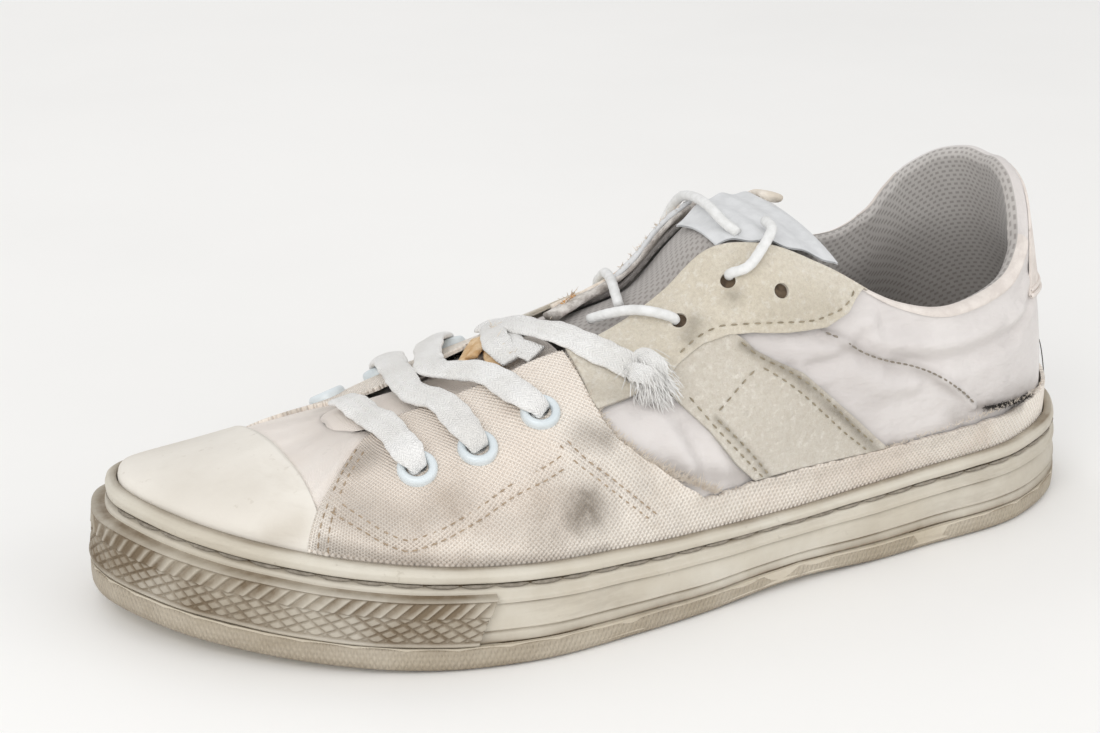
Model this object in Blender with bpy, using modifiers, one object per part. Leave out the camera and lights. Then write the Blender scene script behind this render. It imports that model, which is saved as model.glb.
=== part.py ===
"""A worn, cut-down low-top sneaker for the left foot, empty and standing on its sole.

The front half is a canvas shoe with a rubber toe cap, cut off raw behind its third
eyelet. It is glued over the back half of a nylon and suede running shoe, and one
rubber foxing runs round both. X runs forward to the toe, +Y to the wearer's left,
which is the outer side of this shoe, and +Z up. The shapes are worked out from the
heel forward, and then set down with the middle of the sole over the origin.
"""

import math

import bmesh
import bpy
import numpy as np
from mathutils import Matrix, Vector

MM = 0.001

# Driving dimensions of the sole
LENGTH = 294.5 * MM
BALL_WIDTH = 114 * MM
SOLE_HEIGHT = 25 * MM
LIP_INSET = 4.4 * MM
LIP_WIDTH = 2.1 * MM
TREAD_DEPTH = 1.2 * MM
TREAD_WIDTH = 2.6 * MM
TREAD_PITCH = 9.0 * MM
TREAD_BORDER = 9.0 * MM
BUMPER_THICK = 1.2 * MM
BUMPER_RIBS = 42
RIB_HEIGHT = 0.8 * MM
INSOLE_THICK = 4.0 * MM

# Driving dimensions of the upper and what is sewn on it
UPPER_HEIGHT = 100 * MM
WALL = 1.8 * MM
COLLAR_WALL = 6.0 * MM
GAP = 0.3 * MM
CANVAS_THICK = 1.2 * MM
CANVAS_LIFT = 0.7 * MM
EYESTAY_LIFT = 0.9 * MM
STRIPE_LIFT = 1.0 * MM
SEAM_CLEARANCE = 0.8 * MM
SUEDE_THICK = 1.2 * MM
CAP_THICK = 1.2 * MM
HEEL_COVER_THICK = 0.9 * MM
TONGUE_THICK = 4.5 * MM
FRONT_TONGUE_THICK = 1.6 * MM
LABEL_THICK = 0.4 * MM
LABEL_LIFT = 0.9 * MM

# Driving dimensions of the lacing
EYELET_HOLE_RADIUS = 2.9 * MM
EYELET_RING_RADIUS = 5.3 * MM
EYELET_FLANGE = 1.1 * MM
EYELET_SEAT = CANVAS_LIFT + CANVAS_THICK + 1.3 * GAP
BARREL_WALL = 0.5 * MM
PUNCH_RADIUS = 2.1 * MM
LACE_WIDTH = 8.4 * MM
LACE_THICK = 1.6 * MM
LACE_TOP_SHARE = 0.8
KNOT_LENGTH = 10.0 * MM
KNOT_WIDTH = 9.0 * MM
KNOT_HEIGHT = 7.0 * MM
CORD_RADIUS = 1.5 * MM
HOLE_DEPTH = 16 * MM

# Mesh densities
RING_STEPS = 8
HOLE_SIDES = 12
CORD_STEPS = 9
CROSSING_STEPS = 9
END_STEPS = 14
KNOT_SEGMENTS, KNOT_RINGS = 10, 6
SIDE_LINES = 21
TOE_LINES = 7
RIB_ROWS = 8
SHARP_ANGLE = 40

# Closest two lines of a sewn-on piece (turns), how near a whole row an edge is put on it
# (rows), and the row inside the foxing where the canvas and the cap start
CLOSEST_LINES = 0.0015
ROW_SNAP = 0.08
SEWN_LOW_ROW = 0.3

# Where the tread's grooves start and end, as shares of LENGTH
TREAD_ZONES = ((0.075, 0.27), (0.525, 0.745))

# Outline of the sole seen from above, as shares of LENGTH from the heel and of
# BALL_WIDTH from the long axis: heel to toe on the outer side, then toe to heel.
OUTER_SIDE = (
    (0.000, 0.000), (0.029, 0.175), (0.104, 0.316), (0.246, 0.377), (0.409, 0.425),
    (0.572, 0.492), (0.674, 0.514), (0.796, 0.439), (0.898, 0.268), (0.966, 0.070),
)
INNER_SIDE = (
    (1.000, -0.175), (0.976, -0.355), (0.905, -0.470), (0.783, -0.486), (0.674, -0.474),
    (0.542, -0.395), (0.409, -0.320), (0.267, -0.298), (0.104, -0.307), (0.029, -0.175),
)

# Share of LENGTH; top of the foxing and underside of the sole as shares of
# SOLE_HEIGHT; and how far the lip lies in from the edge, as a share of LIP_INSET
SOLE_SECTIONS = (
    (0.00, 1.00, 0.180, 0.40), (0.04, 0.98, 0.000, 0.55), (0.18, 0.93, 0.000, 0.80),
    (0.29, 0.87, 0.000, 1.00), (0.39, 0.83, 0.060, 1.00), (0.50, 0.88, 0.000, 1.00),
    (0.62, 0.98, 0.000, 1.00), (0.75, 1.08, 0.000, 1.05), (0.88, 1.22, 0.090, 1.25),
    (1.00, 1.44, 0.230, 1.45),
)
PARTING_SHARE = 0.27
PARTING_CLEARANCE = 0.015

# Side of the foxing from its lip down: share of its height, and how far it stands
# out from the lip's line as a share of the lip's inset
FOXING_SIDE = (
    (1.00, -0.10), (0.97, 0.04), (0.86, 0.10), (0.83, -0.12), (0.80, 0.16),
    (0.69, 0.26), (0.67, 0.44), (0.64, 0.30), (0.40, 0.56), (0.38, 0.46), (0.27, 0.68),
)
# Edge of the outsole: share of the parting's height, and how far it lies in from
# the outline as a share of LIP_INSET
OUTSOLE_SIDE = ((0.00, 0.60), (0.30, 0.12), (1.00, 0.10))

# The bumper: where it ends on each side (share of LENGTH), and its rows: share of the
# foxing's height, how far the foxing stands out there, and share of RIB_HEIGHT
BUMPER_END = 0.726
BUMPER_ROWS = (
    (0.670, 0.44, 0.0), (0.645, 0.45, 1.0), (0.500, 0.51, 1.0), (0.470, 0.53, 0.0), (0.285, 0.66, 0.0),
)
BUMPER_BACK = ((0.285, 0.66), (0.400, 0.57), (0.670, 0.45))
# Slant of its ends (turns over the whole height), and how fast it starts beside the toe
BUMPER_SLANT = -0.017
BUMPER_SLANT_START = 12

# Ribs of the upper, heel to toe, on the outer and on the inner side. Each row is where
# the rib's foot is (share of LENGTH), where it meets the topline (shares of LENGTH,
# BALL_WIDTH and UPPER_HEIGHT), how far it rises from the foot and runs from the topline
# (shares of UPPER_HEIGHT), its lean at the foot and its fall at the topline (degrees).
OUTER_RIBS = (
    # foot   top_x   top_y  top_z  rise  run  lean  fall
    (0.000, 0.080, 0.000, 0.990, 0.22, 0.26, 1, 73),
    (0.015, 0.081, 0.065, 0.990, 0.22, 0.26, 2, 73),
    (0.040, 0.083, 0.130, 0.950, 0.22, 0.24, 3, 76),
    (0.075, 0.086, 0.175, 0.860, 0.20, 0.20, 4, 80),
    (0.115, 0.096, 0.208, 0.760, 0.18, 0.16, 5, 82),
    (0.150, 0.122, 0.245, 0.700, 0.18, 0.14, 5, 84),
    (0.200, 0.192, 0.303, 0.672, 0.18, 0.14, 6, 80),
    (0.270, 0.264, 0.307, 0.715, 0.20, 0.18, 4, 70),
    (0.345, 0.350, 0.258, 0.860, 0.22, 0.26, 2, 57),
    (0.400, 0.405, 0.214, 0.925, 0.26, 0.30, 2, 50),
    (0.445, 0.445, 0.165, 0.905, 0.28, 0.28, 2, 44),
    (0.485, 0.482, 0.145, 0.800, 0.26, 0.24, 2, 34),
    (0.540, 0.535, 0.135, 0.705, 0.22, 0.24, 0, 26),
    (0.625, 0.615, 0.125, 0.640, 0.18, 0.24, -4, 20),
    (0.705, 0.685, 0.115, 0.578, 0.14, 0.24, -8, 15),
    (0.790, 0.744, 0.098, 0.535, 0.11, 0.22, -14, 12),
    (0.865, 0.774, 0.078, 0.510, 0.07, 0.24, -20, 14),
    (0.940, 0.788, 0.035, 0.498, 0.03, 0.28, -12, 19),
    (1.000, 0.793, -0.030, 0.492, 0.02, 0.32, -4, 20),
)
INNER_RIBS = (
    (0.000, 0.080, 0.000, 0.990, 0.22, 0.26, 1, 73),
    (0.018, 0.088, -0.085, 0.995, 0.22, 0.26, 2, 73),
    (0.045, 0.105, -0.165, 0.965, 0.22, 0.24, 3, 76),
    (0.085, 0.130, -0.220, 0.905, 0.20, 0.20, 4, 80),
    (0.125, 0.148, -0.245, 0.840, 0.18, 0.18, 5, 82),
    (0.165, 0.166, -0.263, 0.765, 0.18, 0.14, 5, 82),
    (0.205, 0.198, -0.278, 0.712, 0.18, 0.14, 5, 80),
    (0.255, 0.248, -0.285, 0.712, 0.18, 0.16, 4, 74),
    (0.300, 0.298, -0.262, 0.762, 0.20, 0.20, 4, 66),
    (0.360, 0.360, -0.196, 0.850, 0.22, 0.26, 2, 56),
    (0.405, 0.405, -0.136, 0.885, 0.26, 0.30, 2, 50),
    (0.440, 0.438, -0.112, 0.838, 0.28, 0.28, 2, 44),
    (0.480, 0.475, -0.106, 0.742, 0.26, 0.24, 2, 34),
    (0.540, 0.535, -0.110, 0.690, 0.20, 0.24, 0, 24),
    (0.625, 0.615, -0.108, 0.625, 0.16, 0.24, -4, 18),
    (0.705, 0.685, -0.107, 0.565, 0.13, 0.24, -8, 14),
    (0.790, 0.744, -0.107, 0.508, 0.06, 0.22, -16, 15),
    (0.865, 0.772, -0.105, 0.495, 0.03, 0.24, -20, 18),
    (0.940, 0.787, -0.085, 0.491, 0.015, 0.28, -14, 21),
    (1.000, 0.793, -0.030, 0.492, 0.02, 0.32, -4, 20),
)

# Padding of the collar: the level where it starts and the levels over which it fills, and
# then its table: share of LENGTH at the rib's foot, share of the full padding
PADDING_LOW, PADDING_SPREAD = 0.35, 0.45
COLLAR_PADDING = ((0.00, 1.0), (0.10, 1.0), (0.20, 0.7), (0.30, 0.2), (0.34, 0.0), (1.0, 0.0))

# Edges of the sewn-on pieces. Each row is a share of LENGTH and the height of the edge
# there as a share of UPPER_HEIGHT.
CAP_EDGE = 0.873
CAP_TOP_EDGE = 0.840
CANVAS_FRONT = 0.863
CANVAS_TOP = (
    (0.000, 0.335), (0.104, 0.325), (0.246, 0.312), (0.390, 0.315), (0.487, 0.305),
    (0.510, 0.355), (0.535, 0.415), (0.557, 0.465), (0.570, 0.560), (0.586, 0.800),
)
EYESTAY_LOW = (
    (0.305, 0.790), (0.325, 0.730), (0.380, 0.705), (0.442, 0.740), (0.482, 0.700),
    (0.521, 0.625), (0.550, 0.545), (0.562, 0.545),
)
STRIPE_FRONT = (
    (0.280, 0.000), (0.400, 0.240), (0.409, 0.300), (0.450, 0.530), (0.477, 0.720), (0.485, 0.80),
)
STRIPE_BACK = (
    (0.280, 0.300), (0.322, 0.410), (0.385, 0.583), (0.425, 0.725), (0.485, 0.900),
)
# More places, as shares of LENGTH, where these pieces follow the upper
SEAM_SHARES = (
    0.305, 0.326, 0.345, 0.365, 0.386, 0.400, 0.412, 0.424, 0.436, 0.448, 0.460, 0.472, 0.486,
    0.505, 0.524, 0.542, 0.552, 0.561, 0.565, 0.569, 0.573, 0.577, 0.581,
)
HEEL_COVER_END = 0.085
HEEL_COVER_LOW = 0.64

# Rows of eyelets and of punched holes: share of LENGTH, and mm down from the topline
EYELET_ROWS = ((0.733, 21.2), (0.688, 20.6), (0.629, 17.1))
PUNCH_ROWS = ((0.483, 10.4), (0.438, 10.6), (0.397, 13.4))

# Tongues over the throat: their ends as shares of LENGTH, and how far across they
# reach (1 is the topline)
REAR_TONGUE = (0.335, 0.572)
FRONT_TONGUE = (0.582, 0.790)
TONGUE_REACH = 1.22
LABEL_ENDS = (0.343, 0.433)
LABEL_REACH = 0.80

# Routes of the laces and cords, each a row of (share of LENGTH, across, lift in mm).
# The three crossing laces run from the inner to the outer side, and a link joins them.
CROSSINGS = (
    ((0.768, -0.90, 3.2), (0.764, 0.05, 3.0), (0.761, 0.84, 3.0), (0.748, 1.24, 4.2), (0.736, 1.72, 6.2)),
    ((0.692, -1.34, 5.8), (0.709, -0.50, 4.2), (0.716, 0.42, 3.2), (0.702, 1.10, 3.8), (0.690, 1.64, 6.2)),
    ((0.650, -1.30, 5.8), (0.680, -0.60, 4.6), (0.688, -0.02, 3.9), (0.664, 0.62, 3.4), (0.632, 1.50, 6.2)),
    ((0.768, -0.80, 3.2), (0.745, -1.08, 4.8), (0.718, -1.20, 5.6), (0.696, -1.20, 5.6), (0.662, -1.22, 5.6)),
)
LACE_END = (
    (0.606, -1.15, 3.8), (0.596, -0.35, 3.0), (0.584, 0.50, 3.0), (0.569, 1.00, 3.4),
    (0.553, 1.24, 3.6), (0.537, 1.44, 3.8),
)
CORD_BARS = (
    ((0.483, 1.36, 4.4), (0.496, 1.18, 4.8), (0.514, 1.02, 4.6), (0.530, 0.80, 3.4), (0.546, 0.50, 1.4)),
    ((0.517, 0.45, -0.6), (0.508, 0.00, 1.2), (0.494, -0.60, 2.8), (0.484, -1.05, 4.8), (0.481, -1.36, 4.4)),
    ((0.439, 1.34, 4.4), (0.422, 1.20, 5.0), (0.405, 1.06, 5.0), (0.392, 0.88, 4.2), (0.384, 0.60, 0.6)),
    (
        (0.416, 0.84, 0.6), (0.421, 0.64, 0.8), (0.420, 0.20, 2.2), (0.411, -0.40, 3.6), (0.402, -0.90, 5.0),
        (0.403, -1.12, 5.2), (0.415, -1.36, 4.6),
    ),
)

COLOURS = {
    # name: red, green, blue as seen, roughness, metallic
    "rubber": (0.77, 0.74, 0.68, 0.55, 0.0),
    "outsole rubber": (0.64, 0.60, 0.53, 0.70, 0.0),
    "nylon": (0.84, 0.82, 0.82, 0.50, 0.0),
    "canvas": (0.80, 0.76, 0.71, 0.95, 0.0),
    "suede": (0.85, 0.82, 0.74, 0.95, 0.0),
    "padding": (0.62, 0.61, 0.61, 0.90, 0.0),
    "textile": (0.89, 0.87, 0.84, 0.90, 0.0),
    "eyelet enamel": (0.86, 0.87, 0.87, 0.30, 0.4),
    "lace": (0.91, 0.91, 0.90, 0.95, 0.0),
    "cord": (0.84, 0.85, 0.84, 0.80, 0.0),
    "label": (0.93, 0.93, 0.93, 0.60, 0.0),
}


def track(rows, at, period=None):
    """Smooth values at the places in at, through rows of (place, value, ...)."""
    table = np.asarray(rows, float)
    places, values = table[:, 0], table[:, 1:]
    at = np.asarray(at, float)
    if period:
        at = np.mod(at - places[0], period) + places[0]
        places = np.r_[places[-1] - period, places, places[:2] + period]
        values = np.vstack([values[-1], values, values[:2]])
    at = np.clip(at, places[0], places[-1])
    step = np.diff(places)[:, None]
    slope = np.diff(values, axis=0) / step
    inner = (slope[:-1] * step[1:] + slope[1:] * step[:-1]) / (step[:-1] + step[1:])
    tangent = np.vstack([slope[0], inner, slope[-1]])
    i = np.clip(np.searchsorted(places, at, side="right") - 1, 0, len(places) - 2)
    h = step[i]
    t = ((at - places[i]) / h[..., 0])[..., None]
    return (
        (2 * t**3 - 3 * t**2 + 1) * values[i]
        + (t**3 - 2 * t**2 + t) * h * tangent[i]
        + (3 * t**2 - 2 * t**3) * values[i + 1]
        + (t**3 - t**2) * h * tangent[i + 1]
    )


def unit(vectors):
    return vectors / np.linalg.norm(vectors, axis=-1, keepdims=True)


# The sole's outline. A place round it is a turn: 0 at the heel, rising along the
# outer side to 0.5 at the toe, and along the inner side to 1 at the heel again.

def outline_table():
    points = np.array(OUTER_SIDE + INNER_SIDE) * (LENGTH, BALL_WIDTH)
    toe = len(OUTER_SIDE)

    def shares(side):
        run = np.r_[0, np.cumsum(np.linalg.norm(np.diff(side, axis=0), axis=1))]
        return run[:-1] / run[-1]

    outer = shares(points[: toe + 1]) / 2
    inner = 0.5 + shares(np.vstack([points[toe:], points[:1]])) / 2
    return np.column_stack([np.r_[outer, inner], points])


OUTLINE = outline_table()


def outline(turn, inset=0.0):
    """Points (x, y) round the sole at the given turns, moved in from its edge, and the
    outward directions there."""
    at = track(OUTLINE, turn, period=1.0)
    step = 0.002
    along = unit(track(OUTLINE, turn + step, 1.0) - track(OUTLINE, turn - step, 1.0))
    outward = np.stack([-along[..., 1], along[..., 0]], axis=-1)
    return at - outward * np.asarray(inset)[..., None], outward


def turn_at(share, side):
    """The turn on one side (+1 outer, -1 inner) at a share of LENGTH."""
    turns = np.linspace(0.0, 0.5, 400) if side > 0 else np.linspace(1.0, 0.5, 400)
    x = np.maximum.accumulate(outline(turns)[0][:, 0])
    x[-1] = LENGTH
    return np.interp(np.asarray(share) * LENGTH, x, turns)


def sole_section(turn):
    """Share of LENGTH, lip height, underside height and lip inset at each turn."""
    x = np.clip(outline(turn)[0][..., 0], 0.0, LENGTH)
    values = track(SOLE_SECTIONS, x / LENGTH)
    under = np.maximum(0.0, values[..., 1]) * SOLE_HEIGHT
    return x / LENGTH, values[..., 0] * SOLE_HEIGHT, under, values[..., 2] * LIP_INSET


def sole_ring(turn, share, inset):
    """Points round the sole: share 0 is its underside and 1 is the foxing's lip."""
    _, lip, under, _ = sole_section(turn)
    at, _ = outline(turn, inset)
    height = under + (lip - under) * share
    return np.concatenate([at, np.broadcast_to(height, at.shape[:-1])[..., None]], axis=-1)


def foxing_face(turn, share, out, inset=0.0):
    """Points on the foxing's outer face, as FOXING_SIDE gives it, moved in by the inset."""
    return sole_ring(turn, share, sole_section(turn)[3] * (1 - out) + inset)


def foxing_inner(turn):
    return sole_section(turn)[3] + LIP_WIDTH


def foot_inset(turn):
    """How far in from the outline the upper stands, with its sewn-on pieces inside the foxing."""
    return foxing_inner(turn) + CANVAS_LIFT + CANVAS_THICK + 1.5 * GAP


# The upper. A line runs up each rib, from inside the foxing to the topline.

def rib_table():
    outer, inner = np.array(OUTER_RIBS), np.array(INNER_RIBS)[1:-1][::-1]
    outer[:, 0] = turn_at(outer[:, 0], 1)
    inner[:, 0] = turn_at(inner[:, 0], -1)
    return np.vstack([outer, inner])


RIBS = rib_table()


def rib_values(turn):
    """Topline point, rise, run, lean and fall of the rib at each turn."""
    values = track(RIBS, np.asarray(turn, float) % 1.0, period=1.0)
    top = values[..., :3] * (LENGTH, BALL_WIDTH, UPPER_HEIGHT)
    rise, run = values[..., 3] * UPPER_HEIGHT, values[..., 4] * UPPER_HEIGHT
    return top, rise, run, np.radians(values[..., 5]), np.radians(values[..., 6])


def rib(turn, level):
    """Points of the upper's outer face. Level is 0 at the lip and 1 at the topline."""
    turn, level = np.broadcast_arrays(np.asarray(turn, float), np.asarray(level, float))
    low = sole_ring(turn, 1.0, foot_inset(turn))
    _, outward = outline(turn)
    top, rise, run, lean, fall = rib_values(turn)
    up = np.array([0.0, 0.0, 1.0])
    side = np.concatenate([outward, np.zeros(outward.shape[:-1] + (1,))], axis=-1)
    away = low - top
    away[..., 2] = 0
    away = unit(unit(away) + side)
    from_foot = np.cos(lean)[..., None] * up + np.sin(lean)[..., None] * side
    from_top = np.cos(fall)[..., None] * away - np.sin(fall)[..., None] * up
    b, c = low + rise[..., None] * from_foot, top + run[..., None] * from_top
    t = level[..., None]
    return (1 - t) ** 3 * low + 3 * (1 - t) ** 2 * t * b + 3 * (1 - t) * t**2 * c + t**3 * top


def line_turns():
    """The turns of the upper's lines, with one on each corner of the toe cap."""
    outer, inner = turn_at(CAP_EDGE, 1), turn_at(CAP_EDGE, -1)
    return np.r_[
        np.linspace(0.0, outer, SIDE_LINES, endpoint=False),
        np.linspace(outer, 0.5, TOE_LINES, endpoint=False),
        np.linspace(0.5, inner, TOE_LINES, endpoint=False),
        np.linspace(inner, 1.0, SIDE_LINES, endpoint=False),
    ]


TURNS = line_turns()


def upper_grid():
    """The upper's outer face, line by line, and its outward normals. Row 0 is down inside
    the foxing, row 1 at its lip and the last row on the topline."""
    levels = np.linspace(0.0, 1.0, RIB_ROWS)
    face = rib(TURNS[:, None], levels[None, :])
    foot = sole_ring(TURNS, PARTING_SHARE, foot_inset(TURNS))
    foot[:, 2] += GAP
    points = np.concatenate([foot[:, None], face], axis=1)
    along = np.roll(points, -1, axis=0) - np.roll(points, 1, axis=0)
    return points, unit(np.cross(np.gradient(points, axis=1), along))


FACE, NORMALS = upper_grid()


def upper_line(turn):
    """One line of the upper's flat-faceted outer face, with its normals."""
    turn = turn % 1.0
    i = np.searchsorted(TURNS, turn, side="right") - 1
    j = (i + 1) % len(TURNS)
    end = TURNS[j] if j else 1.0
    t = (turn - TURNS[i]) / (end - TURNS[i])
    return FACE[i] * (1 - t) + FACE[j] * t, unit(NORMALS[i] * (1 - t) + NORMALS[j] * t)


def on_line(line, row):
    """The point or direction at a row, whole or not, of a line."""
    rows = np.arange(len(line))
    return np.stack([np.interp(row, rows, line[:, k]) for k in range(3)], axis=-1)


def row_at_height(line, height):
    return np.interp(height, np.maximum.accumulate(line[1:, 2]), np.arange(1.0, len(line)))


def row_at_setback(line, distance):
    """The row that lies this far down from the topline, along the line."""
    run = np.r_[0, np.cumsum(np.linalg.norm(np.diff(line[::-1], axis=0), axis=1))]
    return np.interp(distance, run, np.arange(len(line) - 1.0, -1.0, -1.0))


def row_at_length(line, x):
    """The row where a line over the toe comes back to this distance from the heel."""
    return np.interp(-x, np.maximum.accumulate(-line[1:, 0]), np.arange(1.0, len(line)))


def throat_turns(share):
    """The turns of the outer and the inner rib that meet the topline at a share of LENGTH."""
    outer, inner = np.array(OUTER_RIBS)[5:], np.array(INNER_RIBS)[5:]
    return (
        turn_at(np.interp(share, outer[:, 1], outer[:, 0]), 1),
        turn_at(np.interp(share, inner[:, 1], inner[:, 0]), -1),
    )


def saddle(share, across, lift=0.0):
    """Points over the throat, and the upward normals there. Across is -1 on the inner
    topline and 1 on the outer one, and beyond them it follows the ribs down."""
    share, across, lift = np.broadcast_arrays(
        *(np.asarray(value, float) for value in (share, across, lift))
    )

    def place(s, a):
        outer_turn, inner_turn = throat_turns(s)
        left, _, _, _, left_fall = rib_values(outer_turn)
        right, _, _, _, right_fall = rib_values(inner_turn)
        pull = np.linalg.norm(left - right, axis=-1) / 3
        flat = 0 * s
        b = right + pull[..., None] * np.stack([flat, np.cos(right_fall), np.sin(right_fall)], -1)
        c = left + pull[..., None] * np.stack([flat, -np.cos(left_fall), np.sin(left_fall)], -1)
        t = np.clip((a + 1) / 2, 0, 1)[..., None]
        bridge = (1 - t) ** 3 * right + 3 * (1 - t) ** 2 * t * b + 3 * (1 - t) * t**2 * c + t**3 * left
        beyond = np.clip(np.abs(a) - 1, 0, 1)
        flap = rib(np.where(a > 0, outer_turn, inner_turn), 1 - 0.5 * beyond)
        return np.where((np.abs(a) > 1)[..., None], flap, bridge)

    step = 0.01
    along = place(share + step, across) - place(share - step, across)
    over = place(share, across + 4 * step) - place(share, across - 4 * step)
    normal = unit(np.cross(along, over))
    return place(share, across) + normal * lift[..., None], normal


def route(rows, steps):
    """A smooth path over the saddle and its upward directions, through rows of
    (share of LENGTH, across, lift in mm)."""
    shares, across, lift = np.array(rows).T
    at, normal = saddle(shares, across, lift * MM)
    run = np.r_[0, np.cumsum(np.linalg.norm(np.diff(at, axis=0), axis=1))]
    found = track(np.column_stack([run, at, normal]), np.linspace(0, run[-1], steps))
    return found[:, :3], unit(found[:, 3:])


# Making objects

def make_material(name):
    red, green, blue, roughness, metallic = COLOURS[name]
    found = bpy.data.materials.get(name)
    if found:
        return found
    made = bpy.data.materials.new(name)
    made.use_nodes = True
    shader = made.node_tree.nodes["Principled BSDF"]
    shader.inputs["Base Color"].default_value = (red**2.2, green**2.2, blue**2.2, 1)
    shader.inputs["Roughness"].default_value = roughness
    shader.inputs["Metallic"].default_value = metallic
    return made


def add_object(name, data, finish, hidden=False):
    made = bpy.data.objects.new(name, data)
    data.materials.append(make_material(finish))
    (CUTTERS if hidden else PARTS).objects.link(made)
    made.parent = SHOE
    if hidden:
        made.hide_render = True
        made.display_type = "WIRE"
    return made


def grid_faces(lines, rows, closed):
    """Quads between neighbouring lines and rows of a grid of points."""
    index = np.arange(lines * rows).reshape(lines, rows)
    if closed:
        index = np.vstack([index, index[:1]])
    a, b = index[:-1], index[1:]
    return np.stack([a[:, :-1], a[:, 1:], b[:, 1:], b[:, :-1]], -1).reshape(-1, 4).tolist()


def mesh_from(name, points, faces, solid):
    """A mesh with doubled points joined and empty faces dropped. A solid is turned outward."""
    mesh = bpy.data.meshes.new(name)
    mesh.from_pydata(np.asarray(points).reshape(-1, 3).tolist(), [], faces)
    work = bmesh.new()
    work.from_mesh(mesh)
    bmesh.ops.remove_doubles(work, verts=work.verts, dist=0.01 * MM)
    bmesh.ops.dissolve_degenerate(work, edges=work.edges, dist=0.01 * MM)
    if solid:
        bmesh.ops.recalc_face_normals(work, faces=work.faces)
    work.to_mesh(mesh)
    work.free()
    mesh.shade_smooth()
    mesh.set_sharp_from_angle(angle=math.radians(SHARP_ANGLE))
    return mesh


def ladder(count):
    """Faces across a closed ring of points, from each outer point to the inner one beside it."""
    quads = [[k, k + 1, count - k - 1, (count - k) % count] for k in range(count // 2)]
    return [list(dict.fromkeys(quad)) for quad in quads]


def slab(name, rings, finish):
    """A solid between a stack of rings round the sole, closed by the first and last."""
    rings = np.stack(rings, axis=1)
    lines, rows = rings.shape[:2]
    faces = grid_faces(lines, rows, True)
    for r in (0, rows - 1):
        faces += [[k * rows + r for k in face] for face in ladder(lines)]
    return add_object(name, mesh_from(name, rings, faces, True), finish)


def swept(name, sections, finish, closed_path, hidden=False):
    """A solid with the same closed section of points at each place of a path."""
    sections = np.asarray(sections)
    lines, rows = sections.shape[:2]
    looped = np.concatenate([sections, sections[:, :1]], axis=1)
    faces = grid_faces(lines, rows + 1, closed_path)
    if not closed_path:
        faces.append([r for r in range(rows)])
        faces.append([(lines - 1) * (rows + 1) + r for r in range(rows)])
    return add_object(name, mesh_from(name, looped, faces, True), finish, hidden)


def thicken(obj, thickness, along_normals):
    solidify = obj.modifiers.new("Thickness", "SOLIDIFY")
    solidify.thickness = thickness
    solidify.offset = 1 if along_normals else -1
    solidify.use_even_offset = False
    solidify.use_rim = True
    return solidify


def cut(obj, cutter):
    boolean = obj.modifiers.new("Cut", "BOOLEAN")
    boolean.operation = "DIFFERENCE"
    boolean.object = cutter


def patch(name, turns, edges, thickness, finish, lift=GAP):
    """A sewn-on piece on the upper's facets. Edges gives the lowest and highest row on a line."""
    columns = []
    for turn in turns:
        line, normals = upper_line(turn)
        low, high = edges(turn, line)
        low, high = (round(e) if abs(e - round(e)) < ROW_SNAP else e for e in (low, high))
        rows = np.clip(np.arange(len(line)), low, max(low, high))
        columns.append(on_line(line, rows) + lift * unit(on_line(normals, rows)))
    grid = np.stack(columns)
    mesh = mesh_from(name, grid, grid_faces(*grid.shape[:2], False), False)
    made = add_object(name, mesh, finish)
    thicken(made, thickness, True)
    return made


def seam_turns(side):
    return [turn_at(s, side) for s in SEAM_SHARES]


def lines_between(start, end, extra=()):
    """The upper's own lines between two turns, with the ends and any extra turns."""
    inside = [t + k for k in (-1, 0, 1) for t in TURNS if start < t + k < end]
    turns = sorted({start, end, *(t for t in extra if start < t < end), *inside})
    kept = [turns[0]]
    for turn in turns[1:]:
        if turn - kept[-1] > CLOSEST_LINES:
            kept.append(turn)
    return kept


def side_share(turn):
    """Share of LENGTH of a line's foot."""
    return float(sole_section(turn)[0])


# The sole

def outsole():
    top = PARTING_SHARE - PARTING_CLEARANCE
    rings = [sole_ring(TURNS, share * top, inset * LIP_INSET) for share, inset in OUTSOLE_SIDE]
    made = slab("outsole", rings, "outsole rubber")
    work = bmesh.new()
    for first, last in TREAD_ZONES:
        for x in np.arange(first * LENGTH, last * LENGTH, TREAD_PITCH):
            outer, inner = (outline(turn_at(x / LENGTH, side))[0][1] for side in (1, -1))
            width = outer - inner - 2 * TREAD_BORDER
            place = Matrix.Translation((x, (outer + inner) / 2, 0))
            size = Matrix.Diagonal((TREAD_WIDTH, width, 2 * TREAD_DEPTH, 1))
            bmesh.ops.create_cube(work, size=1, matrix=place @ size)
    grooves = bpy.data.meshes.new("tread_grooves")
    work.to_mesh(grooves)
    work.free()
    cut(made, add_object("tread_grooves", grooves, "outsole rubber", hidden=True))


def foxing():
    inner = foxing_inner(TURNS)
    profile = [foxing_face(TURNS, share, out) for share, out in FOXING_SIDE]
    profile.append(sole_ring(TURNS, FOXING_SIDE[-1][0], inner))
    profile.append(sole_ring(TURNS, FOXING_SIDE[0][0], inner))
    swept("foxing", np.stack(profile, axis=1), "rubber", True)


def toe_bumper():
    start, end = turn_at(BUMPER_END, 1), turn_at(BUMPER_END, -1)
    lines = 2 * BUMPER_RIBS + 1
    base = np.linspace(start, end, lines)
    ribs = (np.arange(lines) % 2).astype(float)
    slant = BUMPER_SLANT * np.sign(0.5 - base) * np.clip(np.abs(base - 0.5) * BUMPER_SLANT_START, 0, 1)
    sections = []
    for share, out, height in BUMPER_ROWS:
        lift = 2 * GAP + BUMPER_THICK + RIB_HEIGHT * height * ribs
        sections.append(foxing_face(base + slant * (share - 0.5), share, out, -lift))
    for share, out in BUMPER_BACK:
        sections.append(foxing_face(base + slant * (share - 0.5), share, out, -1.5 * GAP))
    swept("toe_bumper", np.stack(sections, axis=1), "rubber", False)


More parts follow.
